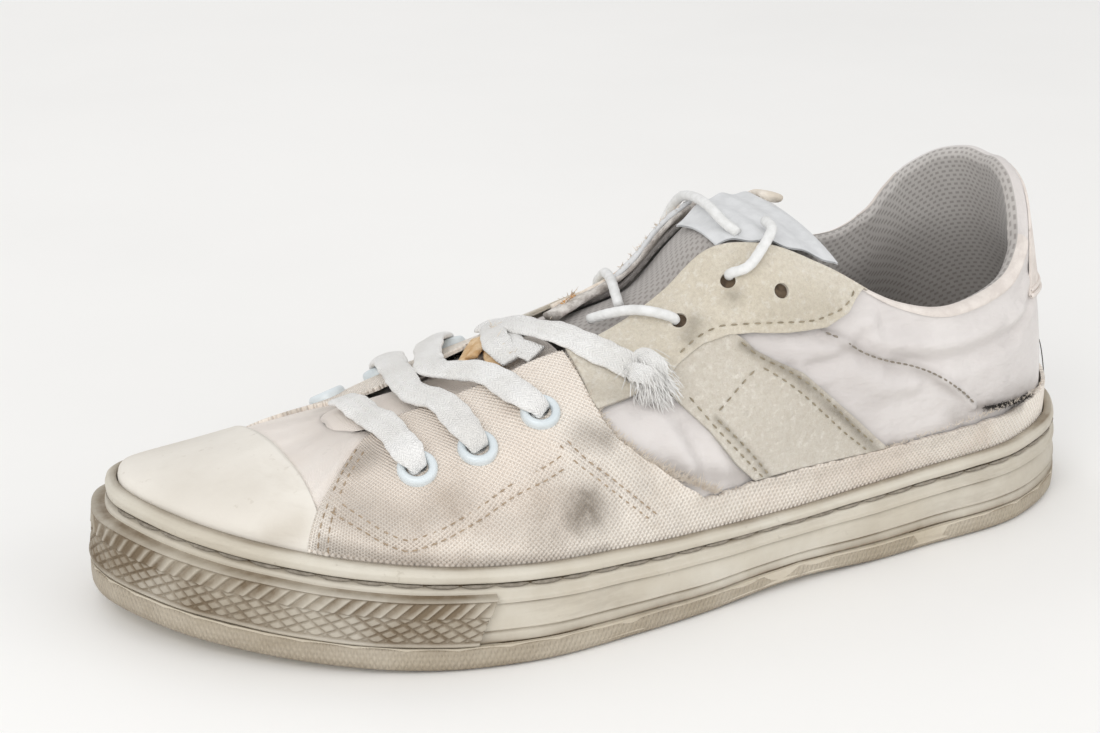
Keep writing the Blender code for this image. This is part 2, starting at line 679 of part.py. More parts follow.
def insole():
    inset = foot_inset(TURNS) + WALL + 2 * GAP
    rings = []
    for height in (0, INSOLE_THICK):
        ring = sole_ring(TURNS, PARTING_SHARE, inset)
        ring[:, 2] += height
        rings.append(ring)
    slab("insole", rings, "padding")


# The upper and what is sewn on it

def upper():
    lines, rows = FACE.shape[:2]
    mesh = bpy.data.meshes.new("upper")
    mesh.from_pydata(FACE.reshape(-1, 3).tolist(), [], grid_faces(lines, rows, True))
    mesh.shade_smooth()
    made = add_object("upper", mesh, "nylon")
    padding = made.vertex_groups.new(name="padding")
    rise = np.clip((np.arange(rows) / (rows - 1) - PADDING_LOW) / PADDING_SPREAD, 0, 1)
    rise = rise * rise * (3 - 2 * rise)
    for i, turn in enumerate(TURNS):
        full = np.clip(track(COLLAR_PADDING, side_share(turn))[0], 0, 1)
        for r in range(rows):
            thick = WALL + (COLLAR_WALL - WALL) * full * rise[r]
            padding.add([i * rows + r], thick / COLLAR_WALL, "REPLACE")
    solidify = thicken(made, COLLAR_WALL, False)
    solidify.vertex_group = "padding"
    return made


def canvas_top(turn, line):
    if side_share(turn) >= CANVAS_TOP[-1][0]:
        return len(line) - 1.0
    return row_at_height(line, track(CANVAS_TOP, side_share(turn))[0] * UPPER_HEIGHT)


def clearance_rows(line, row):
    """A clear gap along a line near a row, in rows."""
    low = on_line(line, max(row - 0.5, 0.0))
    high = on_line(line, min(row + 0.5, len(line) - 1.0))
    return SEAM_CLEARANCE / np.linalg.norm(high - low)


def canvas():
    extra = seam_turns(1) + [turn - 1 for turn in seam_turns(-1)]
    start, end = turn_at(CANVAS_FRONT, -1) - 1, turn_at(CANVAS_FRONT, 1)

    def edges(turn, line):
        return SEWN_LOW_ROW, canvas_top(turn, line)

    turns = lines_between(start, end, extra)
    return patch("canvas", turns, edges, CANVAS_THICK, "canvas", CANVAS_LIFT)


def toe_cap():
    start, end = turn_at(CAP_EDGE, 1), turn_at(CAP_EDGE, -1)

    def edges(turn, line):
        return SEWN_LOW_ROW, row_at_length(line, CAP_TOP_EDGE * LENGTH)

    patch("toe_cap", lines_between(start, end), edges, CAP_THICK, "rubber", CANVAS_LIFT)


def eyestay_edges(turn, line):
    low = row_at_height(line, track(EYESTAY_LOW, side_share(turn))[0] * UPPER_HEIGHT)
    under = canvas_top(turn, line)
    return max(low, under + clearance_rows(line, under)), len(line) - 1.0


def suede_eyestay(side, name):
    ends = [turn_at(s, side) for s in (EYESTAY_LOW[0][0], EYESTAY_LOW[-1][0])]
    turns = lines_between(min(ends), max(ends), seam_turns(side))
    return patch("suede_eyestay_" + name, turns, eyestay_edges, SUEDE_THICK, "suede", EYESTAY_LIFT)


def suede_stripe(side, name):
    ends = [turn_at(s, side) for s in (STRIPE_BACK[0][0], STRIPE_FRONT[-1][0])]

    def edges(turn, line):
        share = side_share(turn)
        base = canvas_top(turn, line)
        low = row_at_height(line, track(STRIPE_FRONT, share)[0] * UPPER_HEIGHT)
        low = max(low, base + clearance_rows(line, base))
        high = row_at_height(line, track(STRIPE_BACK, share)[0] * UPPER_HEIGHT)
        roof = eyestay_edges(turn, line)[0]
        roof -= clearance_rows(line, roof)
        return min(low, roof), max(min(low, roof), min(high, roof))

    turns = lines_between(min(ends), max(ends), seam_turns(side))
    patch("suede_stripe_" + name, turns, edges, SUEDE_THICK, "suede", STRIPE_LIFT)


def heel_tab():
    start, end = turn_at(HEEL_COVER_END, -1) - 1, turn_at(HEEL_COVER_END, 1)

    def edges(turn, line):
        return row_at_height(line, HEEL_COVER_LOW * UPPER_HEIGHT), len(line) - 1.0

    patch("heel_tab", lines_between(start, end), edges, HEEL_COVER_THICK, "textile")


# The tongues

def saddle_piece(name, ends, reach, lift, thickness, finish, stations, columns):
    """A sheet under or over the throat, with its top side on the saddle's lifted surface."""
    across = np.linspace(-reach, reach, columns)
    grid = [saddle(np.full(columns, s), across, lift)[0] for s in np.linspace(*ends, stations)]
    mesh = mesh_from(name, grid, grid_faces(stations, columns, False), False)
    thicken(add_object(name, mesh, finish), thickness, True)


def tongues():
    under = -(WALL + 4 * GAP)
    saddle_piece("tongue_rear", REAR_TONGUE, TONGUE_REACH, under, TONGUE_THICK, "padding", 10, 9)
    saddle_piece("tongue_front", FRONT_TONGUE, TONGUE_REACH, under, FRONT_TONGUE_THICK, "textile", 7, 9)
    lift = under + LABEL_LIFT + LABEL_THICK
    saddle_piece("tongue_label", LABEL_ENDS, LABEL_REACH, lift, LABEL_THICK, "label", 4, 7)


# Eyelets and holes

def seat(turn, setback, lift):
    """A place on the upper's outer face with its outward direction, as a matrix."""
    line, normals = upper_line(turn)
    row = row_at_setback(line, setback)
    normal = Vector(unit(on_line(normals, row)))
    place = Vector(on_line(line, row)) + normal * lift
    return Matrix.Translation(place) @ normal.to_track_quat("Z", "Y").to_matrix().to_4x4()


def eyelet(name, place):
    """A rolled ring with a short barrel down through the canvas and the wall."""
    hole, ring = EYELET_HOLE_RADIUS, EYELET_RING_RADIUS
    barrel = hole + BARREL_WALL
    depth = EYELET_SEAT + WALL
    profile = (
        (hole, 0.5 * EYELET_FLANGE), ((hole + ring) / 2, EYELET_FLANGE), (ring, 0.45 * EYELET_FLANGE),
        (ring, 0.0), (barrel, 0.0), (barrel, -depth), (hole, -depth),
    )
    mesh = bpy.data.meshes.new(name)
    points = [(r, 0, z) for r, z in profile]
    edges = [(k, (k + 1) % len(points)) for k in range(len(points))]
    mesh.from_pydata(points, edges, [])
    made = add_object(name, mesh, "eyelet enamel")
    screw = made.modifiers.new("Turn", "SCREW")
    screw.steps = screw.render_steps = RING_STEPS
    screw.use_merge_vertices = True
    screw.merge_threshold = 0.0001
    screw.use_smooth_shade = True
    made.matrix_local = place


def hole_cutter(name, places, radius):
    work = bmesh.new()
    for place in places:
        bmesh.ops.create_cone(
            work, cap_ends=True, segments=HOLE_SIDES, radius1=radius, radius2=radius, depth=HOLE_DEPTH, matrix=place
        )
    mesh = bpy.data.meshes.new(name)
    work.to_mesh(mesh)
    work.free()
    return add_object(name, mesh, "rubber", hidden=True)


def row_places(rows, side, lift):
    """The places of a row of eyelets or holes on one side."""
    half = 0 if side > 0 else 1
    return [seat(throat_turns(share)[half], setback * MM, lift) for share, setback in rows]


def holes_and_eyelets(upper_object, canvas_object, flaps):
    eyelet_places = []
    for side, name, flap in ((1, "outer", flaps[0]), (-1, "inner", flaps[1])):
        for number, place in enumerate(row_places(EYELET_ROWS, side, EYELET_SEAT), start=1):
            eyelet(f"eyelet_{name}_{number}", place)
        eyelet_places += row_places(EYELET_ROWS, side, 0)
        punches = hole_cutter("punch_holes_" + name, row_places(PUNCH_ROWS, side, 0), PUNCH_RADIUS)
        cut(flap, punches)
        cut(upper_object, punches)
    barrels = hole_cutter("eyelet_holes", eyelet_places, EYELET_HOLE_RADIUS + BARREL_WALL + GAP)
    cut(canvas_object, barrels)
    cut(upper_object, barrels)


# Laces and cords

def ribbon(name, rows, steps, hidden=False):
    """A flat lace along a route."""
    at, up = route(rows, steps)
    ahead = unit(np.gradient(at, axis=0))
    side = unit(np.cross(up, ahead)) * LACE_WIDTH / 2
    rise = unit(np.cross(ahead, side)) * LACE_THICK / 2
    top = LACE_TOP_SHARE * side
    section = [at - side - rise, at + side - rise, at + top + rise, at - top + rise]
    return swept(name, np.stack(section, 1), "lace", False, hidden)


def lace_crossings():
    first = ribbon("lace_crossings", CROSSINGS[0], CROSSING_STEPS)
    for number, rows in enumerate(CROSSINGS[1:], start=2):
        joined = first.modifiers.new(f"Join {number}", "BOOLEAN")
        joined.operation = "UNION"
        joined.object = ribbon(f"crossing_{number}", rows, CROSSING_STEPS, hidden=True)


def lace_end():
    """The flat lace's cut end over the outer flap, and the knot that it ends in."""
    ribbon("lace_end", LACE_END, END_STEPS)
    at, up = route(LACE_END, END_STEPS)
    ahead = unit(at[-1] - at[-2])
    side = unit(np.cross(up[-1], ahead))
    rise = np.cross(ahead, side)
    centre = at[-1] + ahead * (KNOT_LENGTH / 2 + GAP) + rise * (KNOT_HEIGHT / 2 - LACE_THICK)
    axes = np.column_stack([ahead * KNOT_LENGTH, side * KNOT_WIDTH, rise * KNOT_HEIGHT, centre])
    work = bmesh.new()
    shape = Matrix([*axes.tolist(), [0, 0, 0, 1]])
    bmesh.ops.create_uvsphere(work, u_segments=KNOT_SEGMENTS, v_segments=KNOT_RINGS, radius=0.5, matrix=shape)
    mesh = bpy.data.meshes.new("lace_knot")
    work.to_mesh(mesh)
    work.free()
    add_object("lace_knot", mesh, "lace")


def cord_bars():
    """The round cord's bars over the rear throat."""
    for number, rows in enumerate(CORD_BARS, start=1):
        at, _ = route(rows, CORD_STEPS)
        curve = bpy.data.curves.new(f"cord_bar_{number}", "CURVE")
        curve.dimensions = "3D"
        curve.bevel_depth = CORD_RADIUS
        curve.bevel_resolution = 1
        curve.use_fill_caps = True
        spline = curve.splines.new("POLY")
        spline.points.add(len(at) - 1)
        for point, place in zip(spline.points, at):
            point.co = (*place, 1)
        add_object(f"cord_bar_{number}", curve, "cord")


def main():
    outsole()
    foxing()
    toe_bumper()
    insole()
    upper_object = upper()
    canvas_object = canvas()
    toe_cap()
    flaps = [suede_eyestay(1, "outer"), suede_eyestay(-1, "inner")]
    suede_stripe(1, "outer")
    suede_stripe(-1, "inner")
    heel_tab()
    tongues()
    holes_and_eyelets(upper_object, canvas_object, flaps)
    lace_crossings()
    lace_end()
    cord_bars()


for old in list(bpy.data.objects):
    bpy.data.objects.remove(old)
PARTS = bpy.data.collections.new("sneaker")
CUTTERS = bpy.data.collections.new("cutters")
for collection in (PARTS, CUTTERS):
    bpy.context.scene.collection.children.link(collection)
SHOE = bpy.data.objects.new("shoe_on_floor", None)
PARTS.objects.link(SHOE)
EXTREMES = outline(np.linspace(0, 1, 400))[0]
SHOE.location = (-LENGTH / 2, -(EXTREMES[:, 1].min() + EXTREMES[:, 1].max()) / 2, 0)
main()
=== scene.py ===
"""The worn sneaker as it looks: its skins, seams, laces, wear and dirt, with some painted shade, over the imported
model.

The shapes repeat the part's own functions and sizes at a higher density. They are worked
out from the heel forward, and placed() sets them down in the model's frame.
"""

import math

import bmesh
import bpy
import numpy as np
from mathutils import Matrix, Vector


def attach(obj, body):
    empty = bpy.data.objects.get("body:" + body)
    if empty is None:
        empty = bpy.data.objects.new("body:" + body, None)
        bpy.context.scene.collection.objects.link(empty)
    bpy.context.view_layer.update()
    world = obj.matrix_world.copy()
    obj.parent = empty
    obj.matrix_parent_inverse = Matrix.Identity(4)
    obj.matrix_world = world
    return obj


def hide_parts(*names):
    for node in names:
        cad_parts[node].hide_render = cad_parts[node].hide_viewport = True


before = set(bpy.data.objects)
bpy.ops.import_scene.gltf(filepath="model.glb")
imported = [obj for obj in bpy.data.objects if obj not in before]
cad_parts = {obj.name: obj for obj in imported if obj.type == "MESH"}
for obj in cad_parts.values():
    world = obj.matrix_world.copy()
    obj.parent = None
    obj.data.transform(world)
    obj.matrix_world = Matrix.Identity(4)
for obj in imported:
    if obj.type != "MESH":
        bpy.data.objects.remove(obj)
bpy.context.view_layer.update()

MM = 0.001

# Driving dimensions of the sole
LENGTH = 294.5 * MM
BALL_WIDTH = 114 * MM
SOLE_HEIGHT = 25 * MM
LIP_INSET = 4.4 * MM
LIP_WIDTH = 2.1 * MM
TREAD_DEPTH = 1.2 * MM
TREAD_WIDTH = 2.6 * MM
TREAD_PITCH = 9.0 * MM
TREAD_BORDER = 9.0 * MM
BUMPER_THICK = 1.2 * MM
BUMPER_RIBS = 42
RIB_HEIGHT = 0.8 * MM
INSOLE_THICK = 4.0 * MM

# Driving dimensions of the upper and what is sewn on it
UPPER_HEIGHT = 100 * MM
WALL = 1.8 * MM
COLLAR_WALL = 6.0 * MM
GAP = 0.3 * MM
CANVAS_THICK = 1.2 * MM
CANVAS_LIFT = 0.7 * MM
EYESTAY_LIFT = 0.9 * MM
STRIPE_LIFT = 1.0 * MM
SEAM_CLEARANCE = 0.8 * MM
SUEDE_THICK = 1.2 * MM
CAP_THICK = 1.2 * MM
HEEL_COVER_THICK = 0.9 * MM
TONGUE_THICK = 4.5 * MM
FRONT_TONGUE_THICK = 1.6 * MM
LABEL_THICK = 0.4 * MM
LABEL_LIFT = 0.9 * MM

# Driving dimensions of the lacing
EYELET_HOLE_RADIUS = 2.9 * MM
EYELET_RING_RADIUS = 5.3 * MM
EYELET_FLANGE = 1.1 * MM
EYELET_SEAT = CANVAS_LIFT + CANVAS_THICK + 1.3 * GAP
BARREL_WALL = 0.5 * MM
PUNCH_RADIUS = 2.1 * MM
LACE_WIDTH = 8.4 * MM
LACE_THICK = 1.6 * MM
LACE_TOP_SHARE = 0.8
KNOT_LENGTH = 10.0 * MM
KNOT_WIDTH = 9.0 * MM
KNOT_HEIGHT = 7.0 * MM
CORD_RADIUS = 1.5 * MM
HOLE_DEPTH = 16 * MM

# Mesh densities
RING_STEPS = 8
HOLE_SIDES = 12
CORD_STEPS = 9
CROSSING_STEPS = 9
END_STEPS = 14
KNOT_SEGMENTS, KNOT_RINGS = 10, 6
SIDE_LINES = 21
TOE_LINES = 7
RIB_ROWS = 8
SHARP_ANGLE = 40

# Closest two lines of a sewn-on piece (turns), how near a whole row an edge is put on it
# (rows), and the row inside the foxing where the canvas and the cap start
CLOSEST_LINES = 0.0015
ROW_SNAP = 0.08
SEWN_LOW_ROW = 0.3

# Where the tread's grooves start and end, as shares of LENGTH
TREAD_ZONES = ((0.075, 0.27), (0.525, 0.745))

# Outline of the sole seen from above, as shares of LENGTH from the heel and of
# BALL_WIDTH from the long axis: heel to toe on the outer side, then toe to heel.
OUTER_SIDE = (
    (0.000, 0.000), (0.029, 0.175), (0.104, 0.316), (0.246, 0.377), (0.409, 0.425),
    (0.572, 0.492), (0.674, 0.514), (0.796, 0.439), (0.898, 0.268), (0.966, 0.070),
)
INNER_SIDE = (
    (1.000, -0.175), (0.976, -0.355), (0.905, -0.470), (0.783, -0.486), (0.674, -0.474),
    (0.542, -0.395), (0.409, -0.320), (0.267, -0.298), (0.104, -0.307), (0.029, -0.175),
)

# Share of LENGTH; top of the foxing and underside of the sole as shares of
# SOLE_HEIGHT; and how far the lip lies in from the edge, as a share of LIP_INSET
SOLE_SECTIONS = (
    (0.00, 1.00, 0.180, 0.40), (0.04, 0.98, 0.000, 0.55), (0.18, 0.93, 0.000, 0.80),
    (0.29, 0.87, 0.000, 1.00), (0.39, 0.83, 0.060, 1.00), (0.50, 0.88, 0.000, 1.00),
    (0.62, 0.98, 0.000, 1.00), (0.75, 1.08, 0.000, 1.05), (0.88, 1.22, 0.090, 1.25),
    (1.00, 1.44, 0.230, 1.45),
)
PARTING_SHARE = 0.27
PARTING_CLEARANCE = 0.015

# Side of the foxing from its lip down: share of its height, and how far it stands
# out from the lip's line as a share of the lip's inset
FOXING_SIDE = (
    (1.00, -0.10), (0.97, 0.04), (0.86, 0.10), (0.83, -0.12), (0.80, 0.16),
    (0.69, 0.26), (0.67, 0.44), (0.64, 0.30), (0.40, 0.56), (0.38, 0.46), (0.27, 0.68),
)
# Edge of the outsole: share of the parting's height, and how far it lies in from
# the outline as a share of LIP_INSET
OUTSOLE_SIDE = ((0.00, 0.60), (0.30, 0.12), (1.00, 0.10))

# The bumper: where it ends on each side (share of LENGTH), and its rows: share of the
# foxing's height, how far the foxing stands out there, and share of RIB_HEIGHT
BUMPER_END = 0.726
BUMPER_ROWS = (
    (0.670, 0.44, 0.0), (0.645, 0.45, 1.0), (0.500, 0.51, 1.0), (0.470, 0.53, 0.0), (0.285, 0.66, 0.0),
)
BUMPER_BACK = ((0.285, 0.66), (0.400, 0.57), (0.670, 0.45))
# Slant of its ends (turns over the whole height), and how fast it starts beside the toe
BUMPER_SLANT = -0.017
BUMPER_SLANT_START = 12

# Ribs of the upper, heel to toe, on the outer and on the inner side. Each row is where
# the rib's foot is (share of LENGTH), where it meets the topline (shares of LENGTH,
# BALL_WIDTH and UPPER_HEIGHT), how far it rises from the foot and runs from the topline
# (shares of UPPER_HEIGHT), its lean at the foot and its fall at the topline (degrees).
OUTER_RIBS = (
    # foot   top_x   top_y  top_z  rise  run  lean  fall
    (0.000, 0.080, 0.000, 0.990, 0.22, 0.26, 1, 73),
    (0.015, 0.081, 0.065, 0.990, 0.22, 0.26, 2, 73),
    (0.040, 0.083, 0.130, 0.950, 0.22, 0.24, 3, 76),
    (0.075, 0.086, 0.175, 0.860, 0.20, 0.20, 4, 80),
    (0.115, 0.096, 0.208, 0.760, 0.18, 0.16, 5, 82),
    (0.150, 0.122, 0.245, 0.700, 0.18, 0.14, 5, 84),
    (0.200, 0.192, 0.303, 0.672, 0.18, 0.14, 6, 80),
    (0.270, 0.264, 0.307, 0.715, 0.20, 0.18, 4, 70),
    (0.345, 0.350, 0.258, 0.860, 0.22, 0.26, 2, 57),
    (0.400, 0.405, 0.214, 0.925, 0.26, 0.30, 2, 50),
    (0.445, 0.445, 0.165, 0.905, 0.28, 0.28, 2, 44),
    (0.485, 0.482, 0.145, 0.800, 0.26, 0.24, 2, 34),
    (0.540, 0.535, 0.135, 0.705, 0.22, 0.24, 0, 26),
    (0.625, 0.615, 0.125, 0.640, 0.18, 0.24, -4, 20),
    (0.705, 0.685, 0.115, 0.578, 0.14, 0.24, -8, 15),
    (0.790, 0.744, 0.098, 0.535, 0.11, 0.22, -14, 12),
    (0.865, 0.774, 0.078, 0.510, 0.07, 0.24, -20, 14),
    (0.940, 0.788, 0.035, 0.498, 0.03, 0.28, -12, 19),
    (1.000, 0.793, -0.030, 0.492, 0.02, 0.32, -4, 20),
)
INNER_RIBS = (
    (0.000, 0.080, 0.000, 0.990, 0.22, 0.26, 1, 73),
    (0.018, 0.088, -0.085, 0.995, 0.22, 0.26, 2, 73),
    (0.045, 0.105, -0.165, 0.965, 0.22, 0.24, 3, 76),
    (0.085, 0.130, -0.220, 0.905, 0.20, 0.20, 4, 80),
    (0.125, 0.148, -0.245, 0.840, 0.18, 0.18, 5, 82),
    (0.165, 0.166, -0.263, 0.765, 0.18, 0.14, 5, 82),
    (0.205, 0.198, -0.278, 0.712, 0.18, 0.14, 5, 80),
    (0.255, 0.248, -0.285, 0.712, 0.18, 0.16, 4, 74),
    (0.300, 0.298, -0.262, 0.762, 0.20, 0.20, 4, 66),
    (0.360, 0.360, -0.196, 0.850, 0.22, 0.26, 2, 56),
    (0.405, 0.405, -0.136, 0.885, 0.26, 0.30, 2, 50),
    (0.440, 0.438, -0.112, 0.838, 0.28, 0.28, 2, 44),
    (0.480, 0.475, -0.106, 0.742, 0.26, 0.24, 2, 34),
    (0.540, 0.535, -0.110, 0.690, 0.20, 0.24, 0, 24),
    (0.625, 0.615, -0.108, 0.625, 0.16, 0.24, -4, 18),
    (0.705, 0.685, -0.107, 0.565, 0.13, 0.24, -8, 14),
    (0.790, 0.744, -0.107, 0.508, 0.06, 0.22, -16, 15),
    (0.865, 0.772, -0.105, 0.495, 0.03, 0.24, -20, 18),
    (0.940, 0.787, -0.085, 0.491, 0.015, 0.28, -14, 21),
    (1.000, 0.793, -0.030, 0.492, 0.02, 0.32, -4, 20),
)

# Padding of the collar: the level where it starts and the levels over which it fills, and
# then its table: share of LENGTH at the rib's foot, share of the full padding
PADDING_LOW, PADDING_SPREAD = 0.35, 0.45
COLLAR_PADDING = ((0.00, 1.0), (0.10, 1.0), (0.20, 0.7), (0.30, 0.2), (0.34, 0.0), (1.0, 0.0))

# Edges of the sewn-on pieces. Each row is a share of LENGTH and the height of the edge
# there as a share of UPPER_HEIGHT.
CAP_EDGE = 0.873
CAP_TOP_EDGE = 0.840
CANVAS_FRONT = 0.863
CANVAS_TOP = (
    (0.000, 0.335), (0.104, 0.325), (0.246, 0.312), (0.390, 0.315), (0.487, 0.305),
    (0.510, 0.355), (0.535, 0.415), (0.557, 0.465), (0.570, 0.560), (0.586, 0.800),
)
EYESTAY_LOW = (
    (0.305, 0.790), (0.325, 0.730), (0.380, 0.705), (0.442, 0.740), (0.482, 0.700),
    (0.521, 0.625), (0.550, 0.545), (0.562, 0.545),
)
STRIPE_FRONT = (
    (0.280, 0.000), (0.400, 0.240), (0.409, 0.300), (0.450, 0.530), (0.477, 0.720), (0.485, 0.80),
)
STRIPE_BACK = (
    (0.280, 0.300), (0.322, 0.410), (0.385, 0.583), (0.425, 0.725), (0.485, 0.900),
)
# More places, as shares of LENGTH, where these pieces follow the upper
SEAM_SHARES = (
    0.305, 0.326, 0.345, 0.365, 0.386, 0.400, 0.412, 0.424, 0.436, 0.448, 0.460, 0.472, 0.486,
    0.505, 0.524, 0.542, 0.552, 0.561, 0.565, 0.569, 0.573, 0.577, 0.581,
)
HEEL_COVER_END = 0.085
HEEL_COVER_LOW = 0.64

# Rows of eyelets and of punched holes: share of LENGTH, and mm down from the topline
EYELET_ROWS = ((0.733, 21.2), (0.688, 20.6), (0.629, 17.1))
PUNCH_ROWS = ((0.483, 10.4), (0.438, 10.6), (0.397, 13.4))

# Tongues over the throat: their ends as shares of LENGTH, and how far across they
# reach (1 is the topline)
REAR_TONGUE = (0.335, 0.572)
FRONT_TONGUE = (0.582, 0.790)
TONGUE_REACH = 1.22
LABEL_ENDS = (0.343, 0.433)
LABEL_REACH = 0.80

# Routes of the laces and cords, each a row of (share of LENGTH, across, lift in mm).
# The three crossing laces run from the inner to the outer side, and a link joins them.
CROSSINGS = (
    ((0.768, -0.90, 3.2), (0.764, 0.05, 3.0), (0.761, 0.84, 3.0), (0.748, 1.24, 4.2), (0.736, 1.72, 6.2)),
    ((0.692, -1.34, 5.8), (0.709, -0.50, 4.2), (0.716, 0.42, 3.2), (0.702, 1.10, 3.8), (0.690, 1.64, 6.2)),
    ((0.650, -1.30, 5.8), (0.680, -0.60, 4.6), (0.688, -0.02, 3.9), (0.664, 0.62, 3.4), (0.632, 1.50, 6.2)),
    ((0.768, -0.80, 3.2), (0.745, -1.08, 4.8), (0.718, -1.20, 5.6), (0.696, -1.20, 5.6), (0.662, -1.22, 5.6)),
)
LACE_END = (
    (0.606, -1.15, 3.8), (0.596, -0.35, 3.0), (0.584, 0.50, 3.0), (0.569, 1.00, 3.4),
    (0.553, 1.24, 3.6), (0.537, 1.44, 3.8),
)
CORD_BARS = (
    ((0.483, 1.36, 4.4), (0.496, 1.18, 4.8), (0.514, 1.02, 4.6), (0.530, 0.80, 3.4), (0.546, 0.50, 1.4)),
    ((0.517, 0.45, -0.6), (0.508, 0.00, 1.2), (0.494, -0.60, 2.8), (0.484, -1.05, 4.8), (0.481, -1.36, 4.4)),
    ((0.439, 1.34, 4.4), (0.422, 1.20, 5.0), (0.405, 1.06, 5.0), (0.392, 0.88, 4.2), (0.384, 0.60, 0.6)),
    (
        (0.416, 0.84, 0.6), (0.421, 0.64, 0.8), (0.420, 0.20, 2.2), (0.411, -0.40, 3.6), (0.402, -0.90, 5.0),
        (0.403, -1.12, 5.2), (0.415, -1.36, 4.6),
    ),
)

def track(rows, at, period=None):
    """Smooth values at the places in at, through rows of (place, value, ...)."""
    table = np.asarray(rows, float)
    places, values = table[:, 0], table[:, 1:]
    at = np.asarray(at, float)
    if period:
        at = np.mod(at - places[0], period) + places[0]
        places = np.r_[places[-1] - period, places, places[:2] + period]
        values = np.vstack([values[-1], values, values[:2]])
    at = np.clip(at, places[0], places[-1])
    step = np.diff(places)[:, None]
    slope = np.diff(values, axis=0) / step
    inner = (slope[:-1] * step[1:] + slope[1:] * step[:-1]) / (step[:-1] + step[1:])
    tangent = np.vstack([slope[0], inner, slope[-1]])
    i = np.clip(np.searchsorted(places, at, side="right") - 1, 0, len(places) - 2)
    h = step[i]
    t = ((at - places[i]) / h[..., 0])[..., None]
    return (
        (2 * t**3 - 3 * t**2 + 1) * values[i]
        + (t**3 - 2 * t**2 + t) * h * tangent[i]
        + (3 * t**2 - 2 * t**3) * values[i + 1]
        + (t**3 - t**2) * h * tangent[i + 1]
    )


def unit(vectors):
    return vectors / np.linalg.norm(vectors, axis=-1, keepdims=True)


# The sole's outline. A place round it is a turn: 0 at the heel, rising along the
# outer side to 0.5 at the toe, and along the inner side to 1 at the heel again.

def outline_table():
    points = np.array(OUTER_SIDE + INNER_SIDE) * (LENGTH, BALL_WIDTH)
    toe = len(OUTER_SIDE)

    def shares(side):
        run = np.r_[0, np.cumsum(np.linalg.norm(np.diff(side, axis=0), axis=1))]
        return run[:-1] / run[-1]

    outer = shares(points[: toe + 1]) / 2
    inner = 0.5 + shares(np.vstack([points[toe:], points[:1]])) / 2
    return np.column_stack([np.r_[outer, inner], points])


OUTLINE = outline_table()


def outline(turn, inset=0.0):
    """Points (x, y) round the sole at the given turns, moved in from its edge, and the
    outward directions there."""
    at = track(OUTLINE, turn, period=1.0)
    step = 0.002
    along = unit(track(OUTLINE, turn + step, 1.0) - track(OUTLINE, turn - step, 1.0))
    outward = np.stack([-along[..., 1], along[..., 0]], axis=-1)
    return at - outward * np.asarray(inset)[..., None], outward


def turn_at(share, side):
    """The turn on one side (+1 outer, -1 inner) at a share of LENGTH."""
    turns = np.linspace(0.0, 0.5, 400) if side > 0 else np.linspace(1.0, 0.5, 400)
    x = np.maximum.accumulate(outline(turns)[0][:, 0])
    x[-1] = LENGTH
    return np.interp(np.asarray(share) * LENGTH, x, turns)


def sole_section(turn):
    """Share of LENGTH, lip height, underside height and lip inset at each turn."""
    x = np.clip(outline(turn)[0][..., 0], 0.0, LENGTH)
    values = track(SOLE_SECTIONS, x / LENGTH)
    under = np.maximum(0.0, values[..., 1]) * SOLE_HEIGHT
    return x / LENGTH, values[..., 0] * SOLE_HEIGHT, under, values[..., 2] * LIP_INSET


def sole_ring(turn, share, inset):
    """Points round the sole: share 0 is its underside and 1 is the foxing's lip."""
    _, lip, under, _ = sole_section(turn)
    at, _ = outline(turn, inset)
    height = under + (lip - under) * share
    return np.concatenate([at, np.broadcast_to(height, at.shape[:-1])[..., None]], axis=-1)


def foxing_face(turn, share, out, inset=0.0):
    """Points on the foxing's outer face, as FOXING_SIDE gives it, moved in by the inset."""
    return sole_ring(turn, share, sole_section(turn)[3] * (1 - out) + inset)


def foxing_inner(turn):
    return sole_section(turn)[3] + LIP_WIDTH


def foot_inset(turn):
    """How far in from the outline the upper stands, with its sewn-on pieces inside the foxing."""
    return foxing_inner(turn) + CANVAS_LIFT + CANVAS_THICK + 1.5 * GAP


# The upper. A line runs up each rib, from inside the foxing to the topline.

def rib_table():
    outer, inner = np.array(OUTER_RIBS), np.array(INNER_RIBS)[1:-1][::-1]
    outer[:, 0] = turn_at(outer[:, 0], 1)
    inner[:, 0] = turn_at(inner[:, 0], -1)
    return np.vstack([outer, inner])


RIBS = rib_table()


def rib_values(turn):
    """Topline point, rise, run, lean and fall of the rib at each turn."""
    values = track(RIBS, np.asarray(turn, float) % 1.0, period=1.0)
    top = values[..., :3] * (LENGTH, BALL_WIDTH, UPPER_HEIGHT)
    rise, run = values[..., 3] * UPPER_HEIGHT, values[..., 4] * UPPER_HEIGHT
    return top, rise, run, np.radians(values[..., 5]), np.radians(values[..., 6])


def rib(turn, level):
    """Points of the upper's outer face. Level is 0 at the lip and 1 at the topline."""
    turn, level = np.broadcast_arrays(np.asarray(turn, float), np.asarray(level, float))
    low = sole_ring(turn, 1.0, foot_inset(turn))
    _, outward = outline(turn)
    top, rise, run, lean, fall = rib_values(turn)
    up = np.array([0.0, 0.0, 1.0])
    side = np.concatenate([outward, np.zeros(outward.shape[:-1] + (1,))], axis=-1)
    away = low - top
    away[..., 2] = 0
    away = unit(unit(away) + side)
    from_foot = np.cos(lean)[..., None] * up + np.sin(lean)[..., None] * side
    from_top = np.cos(fall)[..., None] * away - np.sin(fall)[..., None] * up
    b, c = low + rise[..., None] * from_foot, top + run[..., None] * from_top
    t = level[..., None]
    return (1 - t) ** 3 * low + 3 * (1 - t) ** 2 * t * b + 3 * (1 - t) * t**2 * c + t**3 * top


